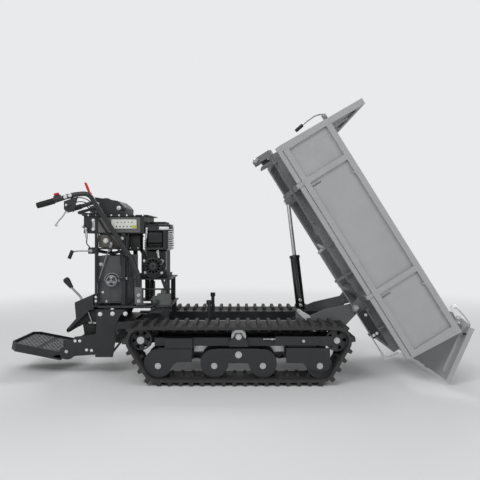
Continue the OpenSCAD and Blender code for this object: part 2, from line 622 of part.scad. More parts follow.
module hydraulic_pump() color("#8b9096") machine() {
    block(-606, -512, -228, -156, deck_z, 590);
    translate([-560, -194, 590 - eps]) cylinder(r = 22, h = 26);
    block(-640, -605, -214, -180, 520, 575);
    translate([-655, -197, 548]) rotate([0, 90, 0]) cylinder(r = 9, h = 20);
}

// Console on four posts, with the fuel tank's cradle
con_x0 = -1147;
con_x1 = con_x0 + console_l;
con_y = console_w / 2;
con_z0 = 1034;
con_z1 = 1162;
tower = [[-1060, con_z1], [-1081, 1304], [-912, 1277], [-875, 1247], [-856, 1224], [-862, con_z1]];
tower_y = 150;
module console_box() color("#222325") machine() {
    difference() {
        block(con_x0, con_x1, -con_y, con_y, con_z0, con_z1);
        block(con_x0 + 4, con_x1 - 4, -con_y + 4, con_y - 4, con_z0 - 1, con_z1 - 4);
    }
    block(con_x0 - 10, con_x1 + 26, -con_y - 12, con_y + 12, con_z1 - eps, con_z1 + 8);
    difference() {
        plate(tower, -tower_y, tower_y);
        plate([[-1052, con_z1 + 12], [-1072, 1294], [-916, 1269], [-882, 1241], [-866, 1221], [-870,
            con_z1 + 12]],
            -tower_y + 5, tower_y - 5);
    }
    both_sides() {
        for (x = [[-868, -838], [-1062, -1046]]) block(x[0], x[1], -con_y - 16, -con_y + 4, deck_z,
            con_z0 + 4);
        block(-1062, -838, -con_y - 16, -con_y + 4, tank_z0 - 16, tank_z0 - 4);
    }
    for (x = [-1020, -930]) block(x, x + 24, -con_y, con_y, tank_z0 - 12, tank_z0);
    control_valve();
}
module console_panel() color("#6f6e6c") machine() {
    block(-1040, -732, -con_y - 5, -con_y, 1040, 1150);
    block(-944, -758, -con_y - 7, -con_y - 5 + eps, 1068, 1138);
}

// Handlebar: one bent tube on each side, a cross bar and the brackets of the clutch levers
bar_y = bar_w / 2;
foot_y = plate_y + bar_d / 2 - 2;
bar_path = [[-728, -foot_y, 532], [-728, -foot_y, 712], [-778, -foot_y - 3, 843], [-1028, -bar_y + 22,
    1228],
    [-1071, -bar_y + 14, 1300], [-1106, -bar_y + 10, 1318], [-1192, -bar_y + 2, 1310],
    [-1298, -bar_y, 1273], [-1440, -bar_y, 1233]];
clutch_pin = [-1237, 1208];
switch_top = 13;
button_r = 11;
button_travel = 3;
module on_switch() translate([-1303, -bar_y, 1290]) rotate([0, -15.7, 0]) children();
module handlebar() color("#1b1c1e") machine() {
    both_sides() {
        tube(bar_path, bar_d, 40, 14, 5);
        block(-1012, -968, -bar_y + 34, -con_y - 12, con_z1, con_z1 + 8);
        plate([[-1256, 1262], [-1156, 1296], [-1185, 1186], [-1245, 1192], [-1256, 1208]], -bar_y - 4,
            -bar_y + 2);
        rod_y(clutch_pin[0], clutch_pin[1], 6, -bar_y + 1, -bar_y + 22);
        plate([[-754, deck_z + 2.4], [-702, deck_z + 2.4], [-702, 637], [-754, 637]], -plate_y + 2.6,
            -plate_y + 8);
        for (z = [548, 590]) {
            rod_y(-728, z, 8, -foot_y - 24, -plate_y + 12);
            hex_y(-728, z, 24, -foot_y - 28, -foot_y - 16);
        }
    }
    tube([[-1071, -140, 1226], [-1209, -140, 1189], [-1209, 140, 1189], [-1071, 140, 1226]], 22, 30, 12);
    on_switch() difference() {
        cube([48, 30, 2 * switch_top], center = true);
        translate([0, 0, 1]) cylinder(r = button_r + fit, h = switch_top);
    }
    rod_y(throttle_pin[0], throttle_pin[1], 5, -bar_y + 12, throttle_y + 11);
    rod_y(throttle_pin[0], throttle_pin[1], 9, -bar_y + 12, throttle_y - gap);
}
grip_a = [-1300, -bar_y, 1272.4];
grip_b = [-1440, -bar_y, 1233];
grip_r = bar_d / 2 + 4;
module handle_grips() color("#141415") machine() both_sides() difference() {
    union() {
        bar(grip_a + 0.18 * (grip_b - grip_a), grip_b + 0.05 * (grip_b - grip_a), 2 * grip_r);
        for (k = [0:6]) bar(grip_a + (0.24 + k * 0.1) * (grip_b - grip_a),
            grip_a + (0.28 + k * 0.1) * (grip_b - grip_a), 2 * grip_r + 3);
    }
    bar(grip_a - (grip_b - grip_a), grip_b + 0.005 * (grip_b - grip_a), bar_d + 0.6);
}
module kill_switch() color("red") machine() on_switch() {
    translate([0, 0, switch_top - 8]) cylinder(r = button_r, h = 14);
    translate([0, 0, switch_top + button_travel + gap]) cylinder(r = button_r + 8, h = 14);
}
// side is -1 for the left lever and +1 for the right one
lever_y = -bar_y + 3 + gap;
module clutch_lever(side) color("silver") machine() mirror([0, side > 0 ? 1 : 0, 0]) {
    difference() {
        union() {
            rod_y(clutch_pin[0], clutch_pin[1], 13, lever_y, lever_y + 14);
            plate([[-1250, 1196], [-1226, 1216], [-1214, 1206], [-1240, 1184]], lever_y + 2, lever_y + 12);
        }
        rod_y(clutch_pin[0], clutch_pin[1], 6 + fit, -far, far);
    }
    tube([[-1244, lever_y + 7, 1196], [-1262, lever_y + 4, 1160], [-1296, lever_y, 1122], [-1310,
        lever_y, 1100]],
        10, 20, 10);
    translate([-1313, lever_y, 1092]) sphere(r = 10);
}
throttle_pin = [-1084, 1318];
throttle_y = -bar_y + 33;
module throttle_lever() color("red") machine() {
    difference() {
        rod_y(throttle_pin[0], throttle_pin[1], 14, throttle_y, throttle_y + 8);
        rod_y(throttle_pin[0], throttle_pin[1], 5 + fit, -far, far);
    }
    plate([[-1096, 1328], [-1080, 1330], [-1092, 1366], [-1106, 1396], [-1118, 1402], [-1122, 1394],
        [-1110, 1362]], throttle_y + 1, throttle_y + 7);
}
valve_pin = [-1086, 907];
valve_y0 = -con_y - 16;
module valve_lever() color("#1a1b1c") machine() {
    difference() {
        rod_y(valve_pin[0], valve_pin[1], 13, valve_y0 - 16, valve_y0 - 1);
        rod_y(valve_pin[0], valve_pin[1], 6 + fit, -far, far);
    }
    tube([[-1096, valve_y0 - 8, 905], [-1180, valve_y0 - 8, 905], [-1226, valve_y0 - 8, 898]], 10, 20);
    bar([-1222, valve_y0 - 8, 908], [-1246, valve_y0 - 8, 850], 26);
}
module control_valve() {
    block(-1110, -1062 + eps, valve_y0, -110, 884, 930);
    rod_y(valve_pin[0], valve_pin[1], 6, valve_y0 - 22, valve_y0 + eps);
}
module control_cables() color("#111213") machine() {
    tube([[-1196, -bar_y + 12, 1212], [-1120, -bar_y + 30, 1252], [-1040, -con_y - 40, 1150],
        [-900, -con_y - 40, 930], [-790, -con_y - 34, 800], [-776, -con_y - 34, 660],
        [-776, -con_y - 24, deck_z + 0.5]], cable_d, 50, 8, 3);
    tube([[-817, -con_y - 5, 1038], [-817, -224, 960], [-817, -224, 700], [-824, -224, deck_z + 0.5]],
        cable_d, 60, 8, 3);
    tube([[-600, -176.8, 866], [-584, -206, 836], [-545, -222, 768], [-516, -222, 695], [-518, -222,
        590.5]],
        cable_d, 40, 8, 3);
    tube([[-1036, -con_y - 5, 1038], [-1036, -223, 960], [-1036, -223, 700], [-1030, -223, deck_z + 0.5]],
        cable_d, 60, 8, 3);
    tube([[-880, -216.4, 703], [-876, -226, 703], [-798, -225, 690], [-795, -223, 600],
        [-795, -223, deck_z + 0.5]], 8, 30, 8, 3);
}
// Steel lock lever on the chassis, beside the hinge gusset
lock_pin = [rear_x + 423, 468];
module lock_lever() color("silver") machine() difference() {
    translate([rear_x, 0, 0]) plate([[416, 484], [430, 482], [504, 438], [514, 424], [510, 410],
        [496, 403], [478, 404], [466, 414], [412, 462]], -ear_in - ear_t - 7, -ear_in - ear_t - 1);
    rod_y(lock_pin[0], lock_pin[1], 6 + fit, -far, far);
}

// Tipping cylinder, drawn along its own axis in the tipped position
cyl_at = [cyl_x, cyl_z];
eye_u = -922.5;
eye_n = 24;
function tip_point(u, n) = [hinge_x + u * cos(tip_angle) + n * sin(tip_angle),
    hinge_z - u * sin(tip_angle) + n * cos(tip_angle)];
eye_at = tip_point(eye_u, eye_n);
cyl_len = norm(eye_at - cyl_at);
cyl_dir = atan2(eye_at[0] - cyl_at[0], eye_at[1] - cyl_at[1]);
barrel_top = 505;
barrel_wall = 5;
piston_at = 460;
eye_w = 50;
eye_play = 4;
module on_cylinder() machine() translate([cyl_x, 0, cyl_z]) rotate([0, cyl_dir, 0]) children();
module cylinder_barrel() color("#121314") on_cylinder() difference() {
    union() {
        rod_y(0, 0, 26, -cyl_cheek + 1, cyl_cheek - 1);
        cylinder(d = 46, h = 90);
        translate([0, 0, 80]) cylinder(d = barrel_d, h = barrel_top - 100);
        translate([0, 0, barrel_top - 22]) cylinder(d = barrel_d + 8, h = 22);
        translate([0, 0, 120]) rotate([90, 0, 0]) cylinder(r = 11, h = barrel_d / 2 + 14);
        translate([0, 0, 160]) rotate([90, 0, 0]) cylinder(r = 11, h = barrel_d / 2 + 14);
    }
    rod_y(0, 0, cyl_pin_r + fit, -far, far);
    translate([0, 0, 96]) cylinder(d = barrel_d - 2 * barrel_wall, h = barrel_top - 120);
    cylinder_bore();
}
module cylinder_bore() translate([0, 0, 200]) cylinder(d = rod_d + 2 * fit, h = 400);
module cylinder_rod() color("gainsboro") on_cylinder() {
    translate([0, 0, piston_at]) cylinder(d = rod_d, h = cyl_len - piston_at - 20);
    translate([0, 0, piston_at - 12]) cylinder(d = barrel_d - 2 * barrel_wall - 2 * gap, h = 26);
    translate([0, 0, cyl_len]) {
        rod_y(0, 0, 25, -eye_w / 2, eye_w / 2);
        both_sides() rod_y(0, 0, cyl_pin_r, -eye_w / 2 - eye_play + gap, 0);
    }
}

// Load bed, drawn lowered with its hinge line at the origin: u along the bed, n above the hinge
u0 = -hinge_back;
u1 = bed_l - hinge_back;
n0 = hinge_drop;
n1 = hinge_drop + side_h;
nh = n1 + head_rise;
front_lean = 22;
rear_lean = 28;
bed_y = bed_w / 2;
head_t = 42;
floor_t = 6;
rail = 40;
sub_y0 = 236;
sub_y1 = 276;
arm_us = [u0 + 300, u0 + 1185];
arm_w = 30;
arm_z = n0 - floor_t - 42;
function front_u(n) = u0 + front_lean * (n - n0) / (nh - n0);
function rear_u(n) = u1 + rear_lean * (n - n0) / side_h;
module bed_frame() color("#7d7f82") tipped() {
    difference() {
        union() {
            both_sides() {
                block(u0, u1 - 17, -sub_y1, -sub_y0, sub_lift, n0 - floor_t);
                plate([[-60, sub_lift + eps], [-34, -8], [-20, -24], [0, -30], [20, -24], [34, -8],
                    [60, sub_lift + eps]], -sub_y0 - 12, -sub_y0);
            }
            for (u = arm_us) block(u - 20, u + 20, -bed_y + 45, bed_y - 45, arm_z - 5, arm_z + arm_w + 5);
            block(u0, u0 + 50, -sub_y0, sub_y0, sub_lift, n0 - floor_t);
            block(eye_u - 16, eye_u + 34, -sub_y0, sub_y0, sub_lift + 4, n0 - floor_t);
            block(u1 - 60, u1 - 17, -sub_y0, sub_y0, sub_lift, n0 - floor_t);
            both_sides() plate([[eye_u - 30, eye_n], [eye_u - 20, eye_n - 24], [eye_u + 20, eye_n - 24],
                [eye_u + 30, eye_n], [eye_u + 34, sub_lift + 6], [eye_u - 16, sub_lift + 6]], 
                -eye_w / 2 - eye_play - 10, -eye_w / 2 - eye_play);
            both_sides() rod_y(eye_u, eye_n, cyl_pin_r + 9, -eye_w / 2 - eye_play - 16,
                -eye_w / 2 - eye_play);
            both_sides() {
                rod_y(0, 0, hinge_r, -sub_y0 - 8, -ear_in + 6);
                rod_y(0, 0, hinge_r + 10, -sub_y0 - 16, -sub_y0 - 11);
                hex_y(0, 0, 34, -sub_y0 - 28, -sub_y0 - 15);
            }
            block(u0 - 68, u0 + 1, -60, 60, sub_lift + 8, sub_lift + 40);
            both_sides() block(u0 - 68, u0 - 20, -60, -48, -44, sub_lift + 9);
        }
        for (u = arm_us)
            block(u - arm_w / 2 - gap, u + arm_w / 2 + gap, -far, far, arm_z - gap, arm_z + arm_w + gap);
    }
    latch_brackets();
}
module bed_tray() color("#a9abad") tipped() {
    difference() {
        union() {
            plate([[u0, n0 - floor_t], [rear_u(n0 - floor_t) - gap, n0 - floor_t], [rear_u(n0) - gap, n0],
                [u0, n0]], -bed_y + 10, bed_y - 10);
            both_sides() block(u0 + 2, u1 - 8, -bed_y + 2, -bed_y + 27, n0 - 36, n0 - floor_t + eps);
        }
        both_sides() for (u = arm_us)
            block(u - arm_w / 2 - 2, u + arm_w / 2 + 2, -far, -bed_y + side_t - 4, 0, far);
    }
    difference() {
        plate([[u0, n0 - floor_t], [front_u(nh), nh], [front_u(nh) + head_t, nh], [u0 + head_t,
            n0 - floor_t]],
            -bed_y, bed_y);
        for (y = [-bed_y + rail, -bed_y / 3 + rail / 2 - 6, bed_y / 3 - rail / 2 + 6])
            for (face = [-1, 1]) plate([for (n = [n0 + 30, n1 - 30, n1 + 30,
                nh - rail]) [front_u(n) + (face < 0
                ? -1 : head_t + 1), n], for (n = [nh - rail, n1 + 30, n1 - 30, n0 + 30]) [front_u(n)
                + (face < 0 ? head_t / 2 - sheet_t / 2 : head_t / 2 + sheet_t / 2), n]], y,
                y + (2 * bed_y - 2 * rail) / 3 - rail / 2);
    }
    block(u0 - 34, front_u(lever_n) + (head_t - sheet_t) / 2 + 1, lever_side + 8, lever_side + 18,
        lever_n - 18, lever_n + 14);
    rod_y(lever_u, lever_n, 6, lever_side - 9, lever_side + 8 + eps);
}
gate_u = u1 - 65.4;
gate_n = n1 + 32.2;
pocket = side_t / 2 - sheet_t / 2;
// side is -1 for the left panel and +1 for the right one
module side_panel(side) color("#b3b5b7") tipped() mirror([0, side > 0 ? 1 : 0, 0]) {
    a = front_u(n0) + head_t + gap;
    stops = [a + rail - 30, arm_us[0] - rail / 2, arm_us[0] + rail / 2, arm_us[1] - rail / 2,
        arm_us[1] + rail / 2, u1 - rail];
    difference() {
        plate([[a, n0 + gap], [rear_u(n0 + gap) - gap, n0 + gap], [rear_u(n1) - gap, n1],
            [front_u(n1) + head_t + gap, n1]], -bed_y, -bed_y + side_t);
        for (k = [0, 2, 4], y = [-bed_y - 1, -bed_y + side_t - pocket])
            block(stops[k], stops[k + 1], y, y + pocket + 1, n0 + rail, n1 - rail);
        for (u = arm_us)
            block(u + rail / 2 + 26, u + rail / 2 + 38, -far, -bed_y + side_t + 1, n0 + rail - 1,
                n0 + rail + 70);
    }
    for (u = arm_us) {
        block(u - arm_w / 2, u + arm_w / 2, -bed_y + 4, -bed_y + 34, arm_z, n0 + gap + eps);
        block(u - arm_w / 2, u + arm_w / 2, -bed_y + 33, -80, arm_z, arm_z + arm_w);
        block(u - 14, u + 14, -bed_y + side_t - eps, -bed_y + side_t + 16, n1 - 26, n1 - 6);
    }
    plate([[gate_u - 70, n1 - eps], [gate_u - 26, gate_n + 8], [gate_u, gate_n + 24], [gate_u + 26,
        gate_n + 10],
        [gate_u + 46, n1 - eps]], -bed_y + side_t - 10, -bed_y + side_t);
    rod_y(gate_u, gate_n, gate_pin_r, -bed_y + side_t - 14, -bed_y + side_t + 14);
    rod_y(gate_u, gate_n, 14, -bed_y + side_t - 18, -bed_y + side_t - 9);
}
gate_t = 34;
gate_pin_r = 8;
module tailgate() color("#a4a6a8") tipped() translate([gate_u, 0, gate_n]) rotate([0, -gate_open, 0])
    translate([-gate_u, 0, -gate_n]) {
    inset = bed_y - side_t - 2;
    difference() {
        plate([[rear_u(n0 - 17) + gap, n0 - 17], [rear_u(n1 - 4) + gap, n1 - 4],
            [rear_u(n1 - 4) + gate_t, n1 - 4],
            [rear_u(n0 - 17) + gate_t, n0 - 17]], -bed_y, bed_y);
        for (k = [0:2]) plate([[rear_u(n0 + 30) + 10, n0 + 30], [rear_u(n1 - 44) + 10, n1 - 44],
            [rear_u(n1 - 44) + far, n1 - 44], [rear_u(n0 + 30) + far, n0 + 30]],
            -bed_y + rail + k * (bed_w - rail) / 3, -bed_y + (k + 1) * (bed_w - rail) / 3);
    }
    both_sides() difference() {
        union() {
            plate([[rear_u(n0 + 20) + 1, n0 + 20], [rear_u(n0 + 20) - 28, n0 + 30],
                [rear_u(n1 - 4) - 28, n1 - 14],
                [gate_u + 18, gate_n - 14], [gate_u - 14, gate_n - 14], [gate_u - 18, gate_n + 8],
                [gate_u, gate_n + 18], [gate_u + 30, gate_n + 8], [rear_u(n1 - 4) + 20, n1 + 10],
                [rear_u(n1 - 4) + 20, n1 - 5], [rear_u(n1 - 4) + 1, n1 - 5]], -inset, -inset + 6);
        }
        rod_y(gate_u, gate_n, gate_pin_r + fit, -far, far);
    }
    for (y = [-120, 120]) block(rear_u(n0) + 4, rear_u(n0) + gate_t + 8, y - 20, y + 20, n0 - 24, n0 + 10);
}

// Release lever on the headboard, its bell crank on the left rail and the latch rod behind it
latch_y = -sub_y1 - 18;
crank_u = -500;
crank_n = 22;
rod_n = -20;
lever_u = u0 - 24;
lever_n = n1 + 15;
lever_side = -400;
module release_lever() color("silver") tipped() {
    difference() {
        rod_y(lever_u, lever_n, 12, lever_side - 7, lever_side + 7);
        rod_y(lever_u, lever_n, 6 + fit, -far, far);
    }
    tube([[lever_u - 12, lever_side, lever_n - 4], [lever_u - 34, lever_side, lever_n - 50],
        [lever_u - 30, lever_side, lever_n - 130], [lever_u - 16, lever_side, lever_n - 214]], 11, 30, 10);
    bar([lever_u - 24, lever_side, lever_n - 166], [lever_u - 14, lever_side, lever_n - 226], 24);
}
module latch_crank() color("silver") tipped() difference() {
    union() {
        plate([[crank_u - 50, 2], [crank_u - 42, 14], [crank_u - 12, crank_n + 12], [crank_u + 10,
            crank_n + 12],
            [crank_u + 14, crank_n - 6], [crank_u + 20, rod_n - 8], [crank_u + 4, rod_n - 8],
            [crank_u - 8, crank_n - 10], [crank_u - 40, -4]], latch_y + 4 + 1, latch_y + 4 + 7);
    }
    rod_y(crank_u, crank_n, 6 + fit, -far, far);
}
module latch_rod() color("silver") tipped() {
    translate([crank_u + 12, latch_y, rod_n]) rotate([0, 90, 0]) cylinder(r = 4, h = u1 - 76 - crank_u);
    plate([[u1 - 66, rod_n - 8], [u1 - 12, rod_n - 8], [u1 - 2, rod_n + 20], [u1 + 8, n0 - 30],
        [u1 - 6, n0 - 30],
        [u1 - 18, rod_n + 26], [u1 - 40, rod_n + 8], [u1 - 66, rod_n + 8]], latch_y - 4, latch_y + 4);
}
// Brackets on the left rail of the bed that carry the crank and guide the rod
module latch_brackets() {
    plate([[crank_u - 20, n0 - floor_t - 1], [crank_u - 14, crank_n - 14], [crank_u + 14, crank_n - 14],
        [crank_u + 20, n0 - floor_t - 1]], -sub_y1 - 6, -sub_y1 + eps);
    rod_y(crank_u, crank_n, 6, latch_y + 4 + 0.6, -sub_y1);
    block(32, 48, latch_y - 12, -sub_y1 + 1, 10, sub_lift + 10);
    plate([[24, -16], [u1 - 186, -16], [u1 - 186, 30], [u1 - 200, 44], [24, 44]], latch_y - 18,
        latch_y - 12 + eps);
    for (u = [-250, u1 - 222]) difference() {
        block(u - 8, u + 8, latch_y - 12, -sub_y1 + eps, rod_n - 12, n0 - floor_t - 1);
        translate([u - 9, latch_y, rod_n]) rotate([0, 90, 0]) cylinder(r = 4 + fit, h = 18);
    }
    tube([[u0 - 12, -sub_y1 - 10, sub_lift - 6], [crank_u - 200, -sub_y1 - 10, sub_lift - 10],
        [crank_u - 90, -sub_y1 - 10, crank_n + 8]], 9, 40, 8, 3);
    for (u = [u0 + 60, crank_u - 200]) block(u - 8, u + 8, -sub_y1 - 16, -sub_y1 + eps, sub_lift - 16,
        sub_lift + 10);
}

// The machine's ends, from which its origin follows
end_x0 = step_x1 - step_l * cos(step_slope) - step_frame_t * sin(step_slope);
gate_u1 = rear_u(n1 - 4) + gate_t - gate_u;
gate_n1 = n1 - 4 - gate_n;
end_x1 = tip_point(gate_u, gate_n)[0] + gate_u1 * cos(tip_angle - gate_open)
    + gate_n1 * sin(tip_angle - gate_open);
centre_x = (end_x0 + end_x1) / 2;

rubber_track(-1);  // rubber_track_left
rubber_track(1);  // rubber_track_right
track_frame(-1);  // track_frame_left
track_frame(1);  // track_frame_right
bogie(-1);  // bogie_left
bogie(1);  // bogie_right
drive_shaft(-1);  // drive_shaft_left
drive_shaft(1);  // drive_shaft_right
sprocket(-1);  // sprocket_left
sprocket(1);  // sprocket_right
idler(-1);  // idler_left
idler(1);  // idler_right
road_wheel(0, -1);  // road_wheel_1_left
road_wheel(1, -1);  // road_wheel_2_left
road_wheel(2, -1);  // road_wheel_3_left
road_wheel(3, -1);  // road_wheel_4_left
road_wheel(0, 1);  // road_wheel_1_right
road_wheel(1, 1);  // road_wheel_2_right
road_wheel(2, 1);  // road_wheel_3_right
road_wheel(3, 1);  // road_wheel_4_right
carrier_roller(-1);  // carrier_roller_left
carrier_roller(1);  // carrier_roller_right
chassis_frame();
front_deck();
lever_housing();
hydraulic_tank();
hydraulic_pump();
engine_block();
blower_housing();
fuel_tank();
fuel_cap();
muffler();
air_cleaner();
engine_pulley();
gearbox_pulley();
drive_belt();
gearbox();
console_box();
console_panel();
handlebar();
handle_grips();
kill_switch();
clutch_lever(-1);  // clutch_lever_left
clutch_lever(1);  // clutch_lever_right
throttle_lever();
valve_lever();
shift_lever();
control_cables();
standing_platform();
cylinder_barrel();
cylinder_rod();
bed_frame();
bed_tray();
side_panel(-1);  // side_panel_left
side_panel(1);  // side_panel_right
tailgate();
latch_rod();
latch_crank();
release_lever();
lock_lever();
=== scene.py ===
# Tracked power carrier with a tipped load bed: materials, dressed parts, studio and camera
import json
import math

import bmesh
import bpy
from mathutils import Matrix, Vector

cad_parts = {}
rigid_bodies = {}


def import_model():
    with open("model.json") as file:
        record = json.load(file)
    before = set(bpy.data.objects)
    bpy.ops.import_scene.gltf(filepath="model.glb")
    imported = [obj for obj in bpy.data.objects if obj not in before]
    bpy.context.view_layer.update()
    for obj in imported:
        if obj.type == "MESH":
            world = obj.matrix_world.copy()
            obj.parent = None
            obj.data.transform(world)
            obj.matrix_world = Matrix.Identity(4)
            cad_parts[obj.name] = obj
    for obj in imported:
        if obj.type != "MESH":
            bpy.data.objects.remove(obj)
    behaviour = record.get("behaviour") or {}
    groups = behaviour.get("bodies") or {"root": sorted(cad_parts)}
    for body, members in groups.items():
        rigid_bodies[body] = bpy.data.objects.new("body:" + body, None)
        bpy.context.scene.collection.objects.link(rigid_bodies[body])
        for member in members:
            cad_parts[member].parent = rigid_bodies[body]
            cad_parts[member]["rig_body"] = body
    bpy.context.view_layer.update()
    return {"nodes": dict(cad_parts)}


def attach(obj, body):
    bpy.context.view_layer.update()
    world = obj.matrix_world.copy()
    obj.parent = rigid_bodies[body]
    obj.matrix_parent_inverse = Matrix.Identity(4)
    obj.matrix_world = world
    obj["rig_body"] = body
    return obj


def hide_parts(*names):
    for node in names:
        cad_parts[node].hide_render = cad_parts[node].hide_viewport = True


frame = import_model()
print("frame loaded")

# The drawing's zero stands 55.2 mm from the machine's middle, towards the tailgate
drawingShift = 55.2033


def place(x, y, z):
    return Vector(((x + drawingShift) / 1000, y / 1000, z / 1000))


def tilted(origin, angle):
    # The frame of a part that is tilted about Y: x runs along it from origin, z stands square to it
    c, s = math.cos(angle), math.sin(angle)
    return lambda x, y, z: place(origin[0] + x * c + z * s, y, origin[1] - x * s + z * c)


def linear(code):
    values = [int(code[i:i + 2], 16) / 255 for i in (1, 3, 5)]
    return [v / 12.92 if v <= 0.04045 else ((v + 0.055) / 1.055) ** 2.4 for v in values] + [1]


def add(tree, kind, values=None, **settings):
    # Adds a node with its settings; a socket, or a node for its first output, is linked, any other value is set
    made = tree.nodes.new(kind)
    for key, value in settings.items():
        setattr(made, key, value)
    for key, value in (values or {}).items():
        value = value.outputs[0] if hasattr(value, "outputs") else value
        if hasattr(value, "is_linked"):
            tree.links.new(value, made.inputs[key])
        else:
            made.inputs[key].default_value = value
    return made


def surface(name, colour, roughness, metallic, grains, tints, rough, bumps, **sockets):
    # grains are noises by name: size in mm, detail, and perhaps harshness and stretch. tints lie over each other,
    # as grain, from, to, strength and colour; rough is a grain and its limits; bumps are grains with depths in mm
    material = bpy.data.materials.new(name)
    material.use_nodes = True
    tree = material.node_tree
    shader = tree.nodes["Principled BSDF"]
    base = linear(colour)
    fixed = {"Metallic": metallic, "Roughness": roughness, "Base Color": base, **sockets}
    for socket, value in fixed.items():
        shader.inputs[socket].default_value = value
    coords = add(tree, "ShaderNodeTexCoord").outputs["Object"]
    made = {}
    for key, grain in grains.items():
        size, detail, harshness, stretch = grain + (0.55, None)[len(grain) - 2:]
        vector = add(tree, "ShaderNodeMapping", {"Vector": coords, "Scale": stretch}) if stretch else coords
        made[key] = add(tree, "ShaderNodeTexNoise", {
            "Vector": vector, "Scale": 1000 / size, "Detail": detail, "Roughness": harshness})
    for grain, low, high, strength, code in tints:
        factor = add(tree, "ShaderNodeMapRange", {
            "Value": made[grain], "From Min": low, "From Max": high, "To Min": 0, "To Max": strength})
        mix = add(tree, "ShaderNodeMix", {0: factor, 6: base, 7: linear(code)}, data_type="RGBA")
        base = mix.outputs[2]
        tree.links.new(base, shader.inputs["Base Color"])
    grain, smoothest, roughest = rough
    spread = add(tree, "ShaderNodeMapRange", {
        "Value": made[grain], "From Min": 0.3, "From Max": 0.7, "To Min": smoothest, "To Max": roughest})
    tree.links.new(spread.outputs[0], shader.inputs["Roughness"])
    under = {}
    for grain, depth in bumps:
        raised = add(tree, "ShaderNodeBump", {
            "Strength": 1.0, "Distance": depth / 1000, "Height": made[grain], **under})
        under = {"Normal": raised}
        tree.links.new(raised.outputs[0], shader.inputs["Normal"])
    return material


def powderCoat(name, colour, light, dark, roughness=0.42):
    return surface(
        name, colour, roughness, 0.0,
        {"broad": (90, 4), "fine": (1.6, 2), "scuff": (28, 6, 0.7, (1, 1, 0.25)), "peel": (9, 2)},
        [("broad", 0.35, 0.75, 0.5, light), ("scuff", 0.62, 0.78, 0.55, dark)],
        ("broad", roughness - 0.06, roughness + 0.1), [("fine", 0.05), ("peel", 0.03)])


def platedSteel(name, colour, light, dark, roughness=0.3, streak=(1, 1, 1)):
    return surface(
        name, colour, roughness, 1.0, {"cloud": (7, 4), "grain": (0.7, 2, 0.5, streak)},
        [("cloud", 0.3, 0.7, 0.8, light), ("cloud", 0.58, 0.8, 0.5, dark)],
        ("grain", roughness - 0.07, roughness + 0.12), [("grain", 0.02)])


def mouldedRubber(name, colour, dust, roughness=0.78, grain=0.9, depth=0.09):
    return surface(
        name, colour, roughness, 0.0, {"broad": (45, 5, 0.65), "fine": (grain, 3)},
        [("broad", 0.45, 0.8, 0.6, dust), ("fine", 0.55, 0.75, 0.25, "#0c0c0d")],
        ("fine", roughness - 0.1, roughness + 0.12), [("fine", depth), ("broad", 0.25)])


def mouldedPlastic(name, colour, light, roughness=0.45, depth=0.03):
    return surface(
        name, colour, roughness, 0.0, {"broad": (60, 3), "grain": (0.8, 2)}, [("broad", 0.35, 0.75, 0.5, light)],
        ("grain", roughness - 0.05, roughness + 0.1), [("grain", depth)])


def castMetal(name, colour, light, dark, roughness=0.6, metallic=0.35):
    return surface(
        name, colour, roughness, metallic, {"pits": (1.8, 4, 0.65), "broad": (35, 4)},
        [("broad", 0.3, 0.7, 0.7, light), ("pits", 0.55, 0.75, 0.5, dark)],
        ("pits", roughness - 0.1, roughness + 0.15), [("pits", 0.16), ("broad", 0.2)])


def polished(name, colour, roughness, metallic, coat=0.0):
    return surface(
        name, colour, roughness, metallic, {"lines": (0.5, 2, 0.5, (1, 1, 0.04)), "waves": (40, 2)}, [],
        ("lines", roughness, roughness + 0.06), [("waves", 0.02)],
        **{"Coat Weight": coat, "Coat Roughness": 0.05})


